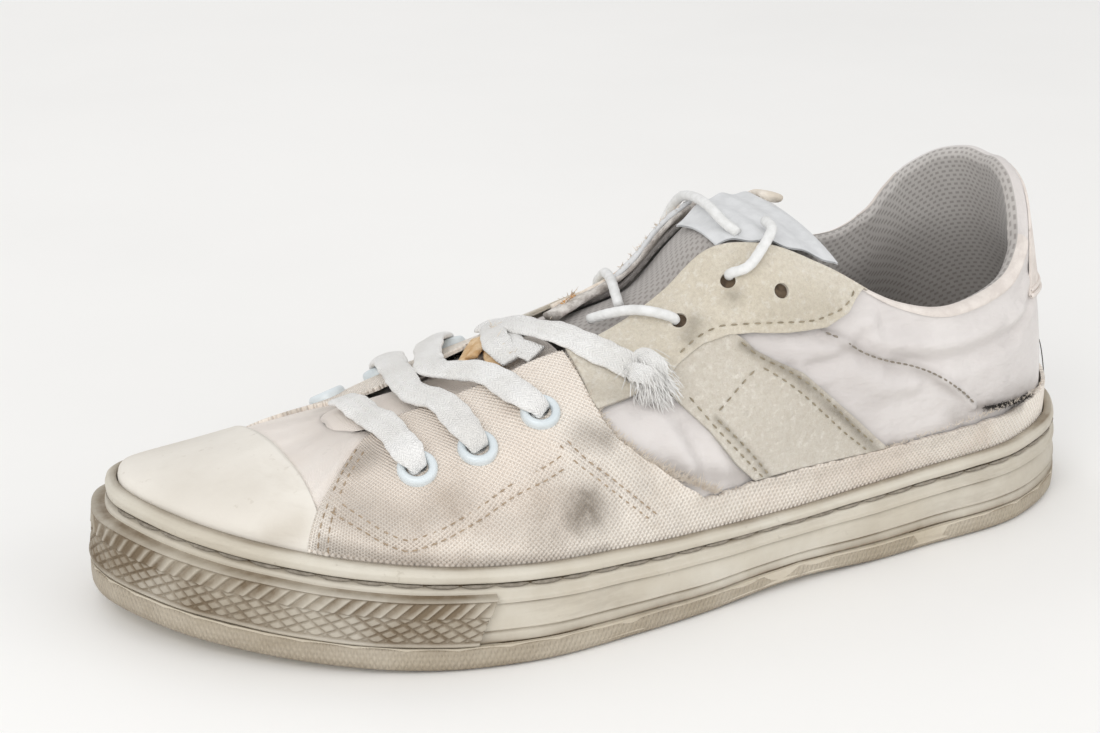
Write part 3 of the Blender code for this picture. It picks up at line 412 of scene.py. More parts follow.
def throat_turns(share):
    """The turns of the outer and the inner rib that meet the topline at a share of LENGTH."""
    outer, inner = np.array(OUTER_RIBS)[5:], np.array(INNER_RIBS)[5:]
    return (
        turn_at(np.interp(share, outer[:, 1], outer[:, 0]), 1),
        turn_at(np.interp(share, inner[:, 1], inner[:, 0]), -1),
    )


def saddle(share, across, lift=0.0):
    """Points over the throat, and the upward normals there. Across is -1 on the inner
    topline and 1 on the outer one, and beyond them it follows the ribs down."""
    share, across, lift = np.broadcast_arrays(
        *(np.asarray(value, float) for value in (share, across, lift))
    )

    def place(s, a):
        outer_turn, inner_turn = throat_turns(s)
        left, _, _, _, left_fall = rib_values(outer_turn)
        right, _, _, _, right_fall = rib_values(inner_turn)
        pull = np.linalg.norm(left - right, axis=-1) / 3
        flat = 0 * s
        b = right + pull[..., None] * np.stack([flat, np.cos(right_fall), np.sin(right_fall)], -1)
        c = left + pull[..., None] * np.stack([flat, -np.cos(left_fall), np.sin(left_fall)], -1)
        t = np.clip((a + 1) / 2, 0, 1)[..., None]
        bridge = (1 - t) ** 3 * right + 3 * (1 - t) ** 2 * t * b + 3 * (1 - t) * t**2 * c + t**3 * left
        beyond = np.clip(np.abs(a) - 1, 0, 1)
        flap = rib(np.where(a > 0, outer_turn, inner_turn), 1 - 0.5 * beyond)
        return np.where((np.abs(a) > 1)[..., None], flap, bridge)

    step = 0.01
    along = place(share + step, across) - place(share - step, across)
    over = place(share, across + 4 * step) - place(share, across - 4 * step)
    normal = unit(np.cross(along, over))
    return place(share, across) + normal * lift[..., None], normal


def route(rows, steps):
    """A smooth path over the saddle and its upward directions, through rows of
    (share of LENGTH, across, lift in mm)."""
    shares, across, lift = np.array(rows).T
    at, normal = saddle(shares, across, lift * MM)
    run = np.r_[0, np.cumsum(np.linalg.norm(np.diff(at, axis=0), axis=1))]
    found = track(np.column_stack([run, at, normal]), np.linspace(0, run[-1], steps))
    return found[:, :3], unit(found[:, 3:])


# Places on the shoe

EXTREMES = outline(np.linspace(0, 1, 400))[0]
SET_DOWN = np.array([-LENGTH / 2, -(EXTREMES[:, 1].min() + EXTREMES[:, 1].max()) / 2, 0])
RANDOM = np.random.default_rng(7)


def placed(points):
    """Points worked out from the heel, in the model's frame."""
    return np.asarray(points) + SET_DOWN


def skin(turn, level, lift=0.0):
    """Points on the upper's outer face and its outward normals. A level below 0 goes down
    inside the foxing."""
    turn, level = np.broadcast_arrays(np.asarray(turn, float), np.asarray(level, float))

    def at(t, v):
        point = rib(t, np.maximum(v, 0.0))
        point[..., 2] += np.minimum(v, 0.0) * UPPER_HEIGHT
        return point

    along = at(turn + 0.0012, level) - at(turn - 0.0012, level)
    normal = unit(np.cross(at(turn, level + 0.006) - at(turn, level - 0.006), along))
    return at(turn, level) + normal * np.asarray(lift)[..., None], normal


def level_at(turn, height):
    """The level at which each turn's rib reaches a height in metres."""
    levels = np.linspace(0, 1, 60)
    turn, height = np.broadcast_arrays(np.atleast_1d(np.asarray(turn, float)), height)
    z = np.maximum.accumulate(rib(turn[:, None], levels[None, :])[..., 2], axis=1)
    return np.array([np.interp(h, row, levels) for h, row in zip(height, z)])


def on_side(side, rows, steps=None, lift=0.0):
    """A smooth path on one side through rows of (share of LENGTH, height in mm)."""
    rows = np.array(rows, float)
    run = np.r_[0, np.cumsum(np.linalg.norm(np.diff(rows * (294.5, 1), axis=0), axis=1))]
    if steps:
        rows = track(np.column_stack([run, rows]), np.linspace(0, run[-1], steps))
    turns = turn_at(rows[:, 0], side)
    return skin(turns, level_at(turns, rows[:, 1] * MM), lift)


def spot(side, share, height):
    return on_side(side, [(share, height)])[0][0]


def distance_to(points, path):
    """The distance from each point to a path of straight runs."""
    best = np.full(points.shape[:-1], 1e9)
    for a, b in zip(path[:-1], path[1:]):
        run = b - a
        t = np.clip(((points - a) @ run) / max(run @ run, 1e-12), 0, 1)
        best = np.minimum(best, np.linalg.norm(points - (a + t[..., None] * run), axis=-1))
    return best


def folds(points, table):
    """How far folds push a skin out. A row is (side, width mm, depth mm, places): a
    positive depth is a ridge with troughs beside it, and a negative one a trough."""
    out = np.zeros(points.shape[:-1])
    for side, width, depth, places in table:
        d = distance_to(points, on_side(side, places, 12)[0]) / (width * MM)
        out += depth * MM * (np.exp(-d * d) - 0.4 * np.exp(-((d - 1.7) ** 2)))
    return out


def stains_and_shade(points, table):
    """How dark a skin is made by its stains and painted shade, 0 to 1. A row is (side, width mm,
    strength, places), and its mark is a spot at one place or a smear through several."""
    out = np.zeros(points.shape[:-1])
    for side, width, strength, places in table:
        path = on_side(side, places, 12 if len(places) > 1 else None)[0]
        d = distance_to(points, np.vstack([path, path[-1:]])) / (width * MM)
        out = np.maximum(out, strength * np.exp(-d * d))
    return out


# Making pieces

def add_piece(name, mesh, material, *nodes):
    made = bpy.data.objects.new(name, mesh)
    bpy.context.scene.collection.objects.link(made)
    mesh.materials.clear()
    mesh.materials.append(material)
    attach(made, "root")
    if nodes:
        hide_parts(*nodes)
    return made


def make_mesh(name, points, faces, dirt_and_shade=None, weave=None):
    """A smooth mesh in the model's frame, with its dirt and painted shade and its weave's own directions."""
    mesh = bpy.data.meshes.new(name)
    mesh.from_pydata(placed(points).reshape(-1, 3).tolist(), [], faces)
    mesh.shade_smooth()
    if dirt_and_shade is not None:
        mesh.attributes.new("dirt_and_shade", "FLOAT", "POINT").data.foreach_set("value", np.ravel(dirt_and_shade))
    if weave is not None:
        values = np.asarray(weave, float).reshape(-1, 2)
        values = np.column_stack([values, np.zeros(len(values))]).ravel()
        mesh.attributes.new("weave", "FLOAT_VECTOR", "POINT").data.foreach_set("vector", values)
    return mesh


def grid_faces(lines, rows, closed=False):
    index = np.arange(lines * rows).reshape(lines, rows)
    if closed:
        index = np.vstack([index, index[:1]])
    a, b = index[:-1], index[1:]
    return np.stack([a[:, :-1], b[:, :-1], b[:, 1:], a[:, 1:]], -1).reshape(-1, 4).tolist()


def weave_of(grid):
    """Lengths in metres along the lines and along the rows of a grid."""
    across = np.linalg.norm(np.diff(grid, axis=1), axis=2)
    v = np.concatenate([np.zeros((len(grid), 1)), np.cumsum(across, axis=1)], axis=1)
    middle = grid[:, grid.shape[1] // 2]
    u = np.r_[0, np.cumsum(np.linalg.norm(np.diff(middle, axis=0), axis=1))]
    return np.stack([np.broadcast_to(u[:, None], v.shape), v], axis=-1)


def skin_weave(turns, levels):
    """Lengths in metres round and up the skin at turns and levels, for its weave."""
    around = np.linspace(turns.min() - 0.01, turns.max() + 0.01, 300)
    line = rib(around, 0.3)
    u = np.r_[0, np.cumsum(np.linalg.norm(np.diff(line, axis=0), axis=1))]
    up = np.linspace(0, 1, 30)
    column = rib(0.32, up)
    v = np.r_[0, np.cumsum(np.linalg.norm(np.diff(column, axis=0), axis=1))]
    v = np.interp(levels, up, v) + np.minimum(levels, 0) * UPPER_HEIGHT
    return np.stack([np.broadcast_to(np.interp(turns, around, u)[:, None], v.shape), v], axis=-1)


def patch(name, turns, lows, highs, rows, lift, thickness, material, nodes=(), bend=(), dirt_and_shade=(), grime=0.0):
    """A sewn piece with soft edges over the upper, from the low to the high level of each
    turn. Its edges are dirtier by the grime."""
    share = np.r_[0, 0, np.linspace(0, 1, rows), 1, 1]
    levels = lows[:, None] + (highs - lows)[:, None] * share[None, :]
    turns = np.r_[turns[0], turns[0], turns, turns[-1], turns[-1]]
    levels = np.vstack([levels[:1], levels[:1], levels, levels[-1:], levels[-1:]])
    base, normal = skin(turns[:, None], levels)
    edge = np.ones(levels.shape)
    for k, height in ((0, 0.0), (1, 0.55)):
        for rim in (edge[k], edge[-1 - k], edge[:, k], edge[:, -1 - k]):
            rim[:] = np.minimum(rim, height)
    height = lift + thickness * edge
    if bend:
        height = height + folds(base, bend) * np.minimum(edge * 2, 1)
    grid = base + normal * height[..., None]
    marks = np.clip(stains_and_shade(base, dirt_and_shade) + grime * (edge < 1), 0, 1)
    mesh = make_mesh(name, grid, grid_faces(*levels.shape), marks, skin_weave(turns, levels))
    return add_piece(name, mesh, material, *nodes)


def sweep(name, sections, material, nodes=(), closed=False, dirt_and_shade=None, weave=None):
    """A piece with a closed section at each place of a path."""
    sections = np.asarray(sections)
    lines, rows = sections.shape[:2]
    index = np.arange(lines * rows).reshape(lines, rows)
    index = np.concatenate([index, index[:, :1]], axis=1)
    if closed:
        index = np.vstack([index, index[:1]])
    a, b = index[:-1], index[1:]
    faces = np.stack([a[:, :-1], b[:, :-1], b[:, 1:], a[:, 1:]], -1).reshape(-1, 4).tolist()
    if not closed:
        faces.append(list(range(rows)))
        faces.append([(lines - 1) * rows + r for r in range(rows - 1, -1, -1)])
    mesh = make_mesh(name, sections, faces, dirt_and_shade, weave)
    work = bmesh.new()
    work.from_mesh(mesh)
    bmesh.ops.recalc_face_normals(work, faces=work.faces)
    work.to_mesh(mesh)
    work.free()
    return add_piece(name, mesh, material, *nodes)


def frames_along(at, up):
    """Forward, sideways and upward directions along a path."""
    ahead = unit(np.gradient(at, axis=0))
    side = unit(np.cross(up, ahead))
    return ahead, side, np.cross(ahead, side)


def tubes(name, paths, radii, sides, material, *nodes):
    """Many thin tubes in one mesh: threads, hairs and stitches. Ends taper to a point."""
    points, faces, total = [], [], 0
    angles = np.arange(sides) * 2 * np.pi / sides
    for at, radius in zip(paths, radii):
        at = np.asarray(at)
        up = np.tile([0.31, 0.22, 0.92], (len(at), 1))
        _, side, rise = frames_along(at, up)
        taper = np.ones(len(at))
        taper[0] = taper[-1] = 0.25
        ring = side[:, None] * np.cos(angles)[None, :, None] + rise[:, None] * np.sin(angles)[None, :, None]
        points.append((at[:, None] + ring * (radius * taper)[:, None, None]).reshape(-1, 3))
        index = np.arange(len(at) * sides).reshape(-1, sides) + total
        index = np.concatenate([index, index[:, :1]], axis=1)
        a, b = index[:-1], index[1:]
        faces += np.stack([a[:, :-1], b[:, :-1], b[:, 1:], a[:, 1:]], -1).reshape(-1, 4).tolist()
        total += len(at) * sides
    return add_piece(name, make_mesh(name, np.vstack(points), faces), material, *nodes)


def stitches(at, normal, length, gap, radius, sink=0.15):
    """Short arched threads along a path on a skin."""
    run = np.r_[0, np.cumsum(np.linalg.norm(np.diff(at, axis=0), axis=1))]
    starts = np.arange(0.3 * length, run[-1] - length, length + gap)
    threads = []
    for start in starts:
        places = np.linspace(start, start + length, 5)
        point = np.stack([np.interp(places, run, at[:, k]) for k in range(3)], -1)
        out = np.stack([np.interp(places, run, normal[:, k]) for k in range(3)], -1)
        arch = np.array([-sink, 0.7, 1.0, 0.7, -sink]) * radius
        threads.append(point + out * arch[:, None])
    return threads


# Materials

def colour(code):
    """A colour as seen, given as RRGGBB, in the renderer's linear values."""
    parts = [int(code[k : k + 2], 16) / 255 for k in (0, 2, 4)]
    return (*[c / 12.92 if c < 0.04045 else ((c + 0.055) / 1.055) ** 2.4 for c in parts], 1.0)


class Finish:
    """A material built node by node."""

    def __init__(self, name, roughness, **settings):
        self.made = bpy.data.materials.new(name)
        self.made.use_nodes = True
        self.tree = self.made.node_tree
        self.shader = self.tree.nodes["Principled BSDF"]
        self.shader.inputs["Roughness"].default_value = roughness
        for key, value in settings.items():
            self.shader.inputs[key.replace("_", " ")].default_value = value
        self.place = self.node("ShaderNodeTexCoord").outputs["Object"]

    def node(self, kind, settings=None, **inputs):
        made = self.tree.nodes.new(kind)
        for key, value in (settings or {}).items():
            setattr(made, key, value)
        for key, value in inputs.items():
            self.plug(made.inputs[key.replace("_", " ")], value)
        return made

    def plug(self, socket, value):
        if isinstance(value, bpy.types.NodeSocket):
            self.tree.links.new(value, socket)
        else:
            socket.default_value = value

    def math(self, operation, a, b=0.0, clamp=False):
        made = self.node("ShaderNodeMath", {"operation": operation, "use_clamp": clamp})
        self.plug(made.inputs[0], a)
        self.plug(made.inputs[1], b)
        return made.outputs[0]

    def noise(self, scale, detail=4, roughness=0.6, vector=None, stretch=None):
        vector = vector or self.place
        if stretch:
            vector = self.node("ShaderNodeVectorMath", {"operation": "MULTIPLY"}, Vector=vector)
            vector.inputs[1].default_value = stretch
            vector = vector.outputs[0]
        made = self.node(
            "ShaderNodeTexNoise", Vector=vector, Scale=scale, Detail=detail, Roughness=roughness
        )
        return made.outputs["Fac"]

    def ramp(self, value, low, high, to_low=0.0, to_high=1.0):
        made = self.node("ShaderNodeMapRange", {"interpolation_type": "SMOOTHSTEP"}, Value=value)
        for key, number in (("From Min", low), ("From Max", high), ("To Min", to_low), ("To Max", to_high)):
            made.inputs[key].default_value = number
        return made.outputs[0]

    def mix(self, share, first, second, blend="MIX"):
        made = self.node("ShaderNodeMixRGB", {"blend_type": blend})
        for socket, value in zip(made.inputs, (share, first, second)):
            self.plug(socket, colour(value) if isinstance(value, str) else value)
        return made.outputs[0]

    def attribute(self, name, output="Fac"):
        return self.node("ShaderNodeAttribute", {"attribute_name": name}).outputs[output]

    def weave(self, pitch_u, pitch_v=None, twill=False):
        """A woven height, 0 to 1, along the piece's own directions."""
        split = self.node("ShaderNodeSeparateXYZ", Vector=self.attribute("weave", "Vector"))
        wobble = self.math("MULTIPLY", self.math("SUBTRACT", self.noise(900, 2), 0.5), 1.6)
        turns = []
        for axis, pitch in (("X", pitch_u), ("Y", pitch_v or pitch_u)):
            angle = self.math("MULTIPLY", split.outputs[axis], 2 * math.pi / pitch)
            turns.append(self.math("ADD", angle, wobble))
        if twill:
            return self.math("MULTIPLY_ADD", self.math("SINE", self.math("ADD", *turns)), 0.5)
        waves = self.math("MULTIPLY", self.math("SINE", turns[0]), self.math("SINE", turns[1]))
        return self.math("MULTIPLY", self.math("ADD", waves, 1.0), 0.5)

    def bump(self, height, depth, strength=1.0):
        """Adds a relief of this depth in metres over what is there."""
        made = self.node("ShaderNodeBump", Height=height, Distance=depth, Strength=strength)
        socket = self.shader.inputs["Normal"]
        if socket.is_linked:
            self.tree.links.new(socket.links[0].from_socket, made.inputs["Normal"])
        self.tree.links.new(made.outputs[0], socket)

    def paint(self, value):
        self.plug(self.shader.inputs["Base Color"], colour(value) if isinstance(value, str) else value)

    def rough(self, value):
        self.plug(self.shader.inputs["Roughness"], value)


def with_dirt_and_shade(finish, base, dirt_and_shade_colour, patchiness=30, floor=0.0):
    """The base colour with the piece's own dirt and painted shade, broken up by noise, over it."""
    broken = finish.ramp(finish.noise(patchiness, 6, 0.7), 0.25, 0.75, 0.55, 1.25)
    amount = finish.math("MULTIPLY", finish.attribute("dirt_and_shade"), broken, clamp=True)
    speck = finish.ramp(finish.noise(320, 3), 0.62, 0.75, 0.0, floor)
    amount = finish.math("MAXIMUM", amount, speck)
    return finish.mix(amount, base, dirt_and_shade_colour)


def canvas_finish():
    f = Finish("canvas cloth", 0.95, Sheen_Weight=0.25, Sheen_Roughness=0.5)
    tone = f.mix(f.ramp(f.noise(16, 4), 0.40, 0.62), "f4e8db", "fff7ec")
    tone = f.mix(f.ramp(f.noise(48, 5), 0.50, 0.75, 0.0, 0.45), tone, "cdbba8")
    weave = f.weave(0.00140, 0.00128)
    tone = f.mix(f.ramp(weave, 0.05, 0.45, 0.42, 0.0), tone, "b39a82")
    f.paint(with_dirt_and_shade(f, tone, "6d6153", 60, 0.12))
    f.bump(f.noise(420, 4), 0.0002)
    f.bump(weave, 0.0005)
    return f.made


def vamp_finish():
    f = Finish("vamp cloth", 0.8, Sheen_Weight=0.2, Sheen_Roughness=0.5)
    tone = f.mix(f.ramp(f.noise(30, 4), 0.3, 0.7), "efe5dc", "f8f1ea")
    f.paint(with_dirt_and_shade(f, tone, "a39788", 50, 0.1))
    f.bump(f.weave(0.0008), 0.00018)
    f.bump(f.noise(200, 4), 0.00025)
    return f.made


def nylon_finish():
    f = Finish("nylon cloth", 0.42, Sheen_Weight=0.15, Sheen_Roughness=0.4)
    tone = f.mix(f.ramp(f.noise(18, 4), 0.3, 0.7), "d2ccc9", "e2ddda")
    f.paint(with_dirt_and_shade(f, tone, "7d736b", 40, 0.06))
    f.bump(f.weave(0.0005, 0.0005), 0.00006)
    f.bump(f.noise(70, 5, 0.55, stretch=(1.0, 1.0, 2.2)), 0.0016, 0.8)
    f.bump(f.noise(34, 3, 0.5, stretch=(1.6, 1.0, 0.7)), 0.0030, 0.7)
    return f.made


def suede_finish(name, light, dark):
    f = Finish(name, 1.0, Sheen_Weight=0.5, Sheen_Roughness=0.45)
    tone = f.mix(f.ramp(f.noise(17, 4, 0.6), 0.35, 0.65), light, dark)
    nap = f.noise(900, 6, 0.85)
    tone = f.mix(f.ramp(nap, 0.35, 0.62, 0.42, 0.0), tone, "c4b69f")
    tone = f.mix(f.ramp(f.noise(520, 4, 0.7), 0.52, 0.68, 0.0, 0.5), tone, "fffaf0")
    # On the side stripe this darkening is partly a painted fold shadow.
    f.paint(with_dirt_and_shade(f, tone, "857a68", 90, 0.10))
    f.bump(nap, 0.0008)
    f.bump(f.noise(240, 5, 0.7), 0.0004)
    return f.made


def mesh_finish():
    f = Finish("mesh lining", 0.85, Sheen_Weight=0.2)
    split = f.node("ShaderNodeSeparateXYZ", Vector=f.attribute("weave", "Vector"))
    row = f.math("DIVIDE", split.outputs["Y"], 0.0015)
    step = f.math("MULTIPLY", f.math("FLOOR", row), 0.5)
    place = f.math("ADD", f.math("DIVIDE", split.outputs["X"], 0.0024), step)
    across = f.math("ABSOLUTE", f.math("SUBTRACT", f.math("FRACT", place), 0.5))
    down = f.math("ABSOLUTE", f.math("SUBTRACT", f.math("FRACT", row), 0.5))
    hole = f.math("MULTIPLY", f.ramp(across, 0.33, 0.22), f.ramp(down, 0.34, 0.18))
    tone = f.mix(f.ramp(f.noise(20, 4), 0.3, 0.7), "b4afab", "c6c2be")
    tone = f.mix(f.math("MULTIPLY", hole, 0.5), tone, "746e69")
    # On the lining this darkening is painted shade, deeper inside the shoe; on the tongue pad it is an even layer of
    # dirt.
    f.paint(with_dirt_and_shade(f, tone, "5b5049", 40, 0.06))
    f.bump(hole, 0.0005, -0.8)
    f.bump(f.noise(300, 3), 0.0002)
    return f.made


def rubber_finish(name, light, dark, grime, patchiness=22, smears=0.35, ticks=0.0):
    f = Finish(name, 0.6, Coat_Weight=0.08, Coat_Roughness=0.45)
    tone = f.mix(f.ramp(f.noise(14, 6, 0.65), 0.35, 0.7), light, dark)
    smear = f.noise(60, 6, 0.7, stretch=(0.35, 0.35, 2.0))
    tone = f.mix(f.ramp(smear, 0.52, 0.72, 0.0, smears), tone, grime)
    if ticks:
        f.bump(f.weave(0.0016, 0.0032), ticks)
    f.paint(with_dirt_and_shade(f, tone, grime, patchiness, 0.25))
    f.rough(f.ramp(f.noise(50, 4), 0.3, 0.7, 0.5, 0.8))
    f.bump(f.noise(260, 5), 0.00012)
    f.bump(f.noise(45, 5), 0.0004)
    return f.made


def plain_finish(name, light, dark, roughness, scale=200, depth=0.0002, **settings):
    f = Finish(name, roughness, **settings)
    f.paint(f.mix(f.ramp(f.noise(scale, 4), 0.3, 0.7), light, dark))
    f.bump(f.noise(scale * 2.5, 4), depth)
    return f.made


def lace_finish():
    f = Finish("lace cotton", 0.95, Sheen_Weight=0.3, Sheen_Roughness=0.5)
    split = f.node("ShaderNodeSeparateXYZ", Vector=f.attribute("weave", "Vector"))
    across = f.math("ABSOLUTE", f.math("PINGPONG", f.math("ADD", split.outputs["Y"], 1.0), 0.0014))
    angle = f.math("ADD", split.outputs["X"], across)
    rib_height = f.math("SINE", f.math("MULTIPLY", angle, 2 * math.pi / 0.0011))
    rib_height = f.math("MULTIPLY", f.math("ADD", rib_height, 1.0), 0.5)
    tone = f.mix(f.ramp(f.noise(60, 4), 0.35, 0.7), "f1f0ee", "e4e2de")
    tone = f.mix(f.ramp(rib_height, 0.0, 0.4, 0.14, 0.0), tone, "c9c5bf")
    f.paint(f.mix(f.ramp(f.noise(35, 5), 0.58, 0.8, 0.0, 0.25), tone, "c4b9aa"))
    f.bump(rib_height, 0.00022)
    f.bump(f.noise(700, 4, 0.7), 0.0003)
    return f.made


FINISHES = {}


def make_finishes():
    FINISHES.update(
        canvas=canvas_finish(),
        vamp=vamp_finish(),
        nylon=nylon_finish(),
        suede=suede_finish("suede hide", "ede3cf", "f8f1e3"),
        panel=suede_finish("suede panel", "e0d8ca", "efe8db"),
        mesh=mesh_finish(),
        cap=rubber_finish("cap rubber", "e8e3da", "ddd7cd", "a89c89", smears=0.2),
        foxing=rubber_finish("foxing rubber", "d8d3c7", "c9c1b1", "75654f", 45, smears=0.22),
        outsole=rubber_finish("outsole rubber", "cfc6b6", "bcb19d", "77664f", 30, ticks=0.0004),
        edge=plain_finish("worn cloth edge", "e6e1db", "b5ada6", 0.95, 330, 0.0009),
        glue=plain_finish("old glue", "c9832f", "e0b070", 0.6, 300, 0.0003),
        binding=plain_finish("collar binding", "e4dcd5", "d6cdc6", 0.8, 260, 0.0003),
        lace=lace_finish(),
        cord=plain_finish("cord white", "e9e9e8", "dcdcda", 0.7, 400),
        enamel=plain_finish("enamel white", "dbe2e5", "ccd5d9", 0.35, 30, 0.0001, Coat_Weight=0.3),
        thread=plain_finish("sewing thread", "b8a48d", "9c8871", 0.9, 600),
        seam=plain_finish("suede seam thread", "a79c86", "8b806b", 0.9, 600),
        grey_thread=plain_finish("grey thread", "9a9286", "7f776b", 0.9, 600),
        fray=plain_finish("frayed cotton", "efe6da", "dccfbf", 0.95, 600),
        label=plain_finish("bare label", "d9dadb", "cfd0d1", 0.6, 300, 0.00005),
        dark=plain_finish("hole shade", "6b5b49", "463a2e", 0.9, 500),
        wear=plain_finish("worn gap", "4a423b", "8b8176", 0.95, 500),
        insole=plain_finish("insole cloth", "8c857c", "a39b90", 0.95, 250, 0.0004),
        cotton=plain_finish("tongue cotton", "e9e1d6", "dacfc0", 0.95, 160, 0.0005),
        backing=plain_finish("raw backing", "e6cba6", "c79f6e", 0.95, 220, 0.0008),
        black=plain_finish("black thread", "2b2826", "45403c", 0.9, 400),
    )


# The sole

SOLE_TURNS = np.linspace(0, 1, 520, endpoint=False)
FOXING_POINTS = 74

# Fine relief of the foxing: share of its height, mm out
FOXING_RELIEF = (
    (0.27, 0.0), (0.35, 0.0), (0.372, -0.3), (0.39, 0.35), (0.415, 0.0), (0.52, 0.1), (0.63, 0.0),
    (0.652, -0.35), (0.672, 0.4), (0.70, 0.0), (0.78, 0.15), (0.815, -0.35), (0.83, -0.7),
    (0.845, -0.3), (0.875, 0.3), (0.93, 0.6), (0.98, 0.3), (1.0, 0.0),
)
# Dirt on the foxing: share of its height, how dirty
FOXING_GRIME = (
    (0.27, 0.80), (0.30, 0.45), (0.35, 0.24), (0.372, 0.85), (0.388, 0.22), (0.45, 0.15), (0.56, 0.12),
    (0.635, 0.18), (0.652, 0.80), (0.668, 0.10), (0.70, 0.08), (0.785, 0.16), (0.812, 0.45),
    (0.828, 1.0), (0.843, 0.6), (0.862, 0.10), (0.95, 0.04), (0.985, 0.15), (1.0, 0.5),
)
# Ribs and lattice of the bumper: widths along it, and how many repeats up its whole height
RIB_PITCH, RIB_LEAN = 4.0 * MM, 4.6
LATTICE_PITCH, LATTICE_RISE = 5.2 * MM, 9.8
# How far the bumper's band stands out: share of the foxing's height, share of the lip's inset
BUMPER_OUT = ((0.256, 0.66), (0.470, 0.53), (0.645, 0.45), (0.740, 0.42), (0.752, 0.18))
BUMPER_COLUMNS = 1250
BUMPER_SHARES = np.r_[0.756, 0.750, 0.744, np.linspace(0.738, 0.300, 48), 0.285, 0.270, 0.256]


def perimeter(turns):
    at = outline(turns)[0]
    return np.r_[0, np.cumsum(np.linalg.norm(np.diff(at, axis=0), axis=1))]


def unevenness(turn, share):
    """The small waves of hand-laid rubber tape."""
    angle = 2 * np.pi * np.asarray(turn)
    wave = np.sin(5 * angle + 1.2) + 0.7 * np.sin(13 * angle + 4 * share) + 0.5 * np.sin(29 * angle + 7 * share)
    return 0.16 * MM * wave


def foxing():
    table = np.array(FOXING_SIDE)
    run = np.r_[0, np.cumsum(np.hypot(np.diff(table[:, 0]) * 5.5, np.diff(table[:, 1])))]
    places = np.unique(np.r_[np.linspace(0, run[-1], FOXING_POINTS), run])
    shares, outs = np.interp(places, run, table[:, 0]), np.interp(places, run, table[:, 1])
    grime, relief = np.array(FOXING_GRIME), np.array(FOXING_RELIEF)
    sections, dirt_and_shade = [], []
    for share, out in zip(shares, outs):
        extra = np.interp(share, relief[:, 0], relief[:, 1]) * MM
        sections.append(foxing_face(SOLE_TURNS, share, out, -unevenness(SOLE_TURNS, share) - extra))
        wander = 1 + 0.35 * np.sin(2 * np.pi * SOLE_TURNS * 7 + 9 * share) * np.sin(2 * np.pi * SOLE_TURNS * 17)
        heel = 0.22 * np.exp(-((np.minimum(SOLE_TURNS, 1 - SOLE_TURNS) / 0.09) ** 2))
        dirt_and_shade.append(np.interp(share, grime[:, 0], grime[:, 1]) * wander + heel)
    inner = foxing_inner(SOLE_TURNS)
    for share in (FOXING_SIDE[-1][0], FOXING_SIDE[0][0]):
        sections.append(sole_ring(SOLE_TURNS, share, inner))
        dirt_and_shade.append(np.full(len(SOLE_TURNS), 0.6))
    grid, dirt_and_shade = np.stack(sections, 1), np.clip(np.stack(dirt_and_shade, 1), 0, 1)
    sweep("foxing_band", grid, FINISHES["foxing"], ("foxing",), True, dirt_and_shade, weave_of(grid))
    threads = []
    for turns in (np.linspace(0.02, 0.498, 900), np.linspace(0.502, 0.98, 900)):
        at = foxing_face(turns, 0.830, -0.02)
        outward = np.column_stack([outline(turns)[1], np.zeros(len(turns))])
        threads += stitches(at, outward, 8.4 * MM, 0.8 * MM, 0.5 * MM)
    tubes("foxing_stitches", threads, [0.48 * MM] * len(threads), 6, FINISHES["grey_thread"])


def paint_node(node, finish):
    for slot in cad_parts[node].material_slots:
        slot.material = FINISHES[finish]


def outsole():
    rows = (
        (0.0, 3.0), (0.0, 0.62), (0.03, 0.42), (0.10, 0.25), (0.25, 0.13), (0.45, 0.10), (0.7, 0.10),
        (0.9, 0.10), (0.97, 0.16), (1.0, 0.35), (1.0, 3.0),
    )
    top = PARTING_SHARE - PARTING_CLEARANCE
    grid = np.stack([sole_ring(SOLE_TURNS, s * top, i * LIP_INSET) for s, i in rows], 1)
    dirt_and_shade = np.broadcast_to(np.array([0.9, 0.8, 0.7, 0.6, 0.5, 0.4, 0.4, 0.5, 0.9, 1.0, 1.0]), grid.shape[:2])
    sweep("outsole_edge", grid, FINISHES["outsole"], (), True, dirt_and_shade, weave_of(grid))
    paint_node("outsole", "outsole")


def bumper_relief(run, share):
    """How far the bumper's pattern stands up at a height, 0 to 1. The run is measured from
    the middle of the toe, so that the pattern is the same on both sides."""
    if 0.555 < share < 0.722:
        wave = (run / RIB_PITCH - RIB_LEAN * share) % 1
        wave = np.clip(1.5 * wave, 0, 1) * np.clip((1 - wave) * 4, 0, 1)
        return wave * min(1, (0.722 - share) / 0.015, (share - 0.555) / 0.015)
    if 0.335 < share <= 0.555:
        u, v = run / LATTICE_PITCH, share * LATTICE_RISE
        first, second = np.abs(2 * ((u + v) % 1) - 1), np.abs(2 * ((u - v) % 1) - 1)
        return np.clip(2.6 * np.minimum(first, second), 0, 1) * 0.75
    return np.full(len(run), 0.9 if share > 0.722 or share < 0.31 else 0.2)


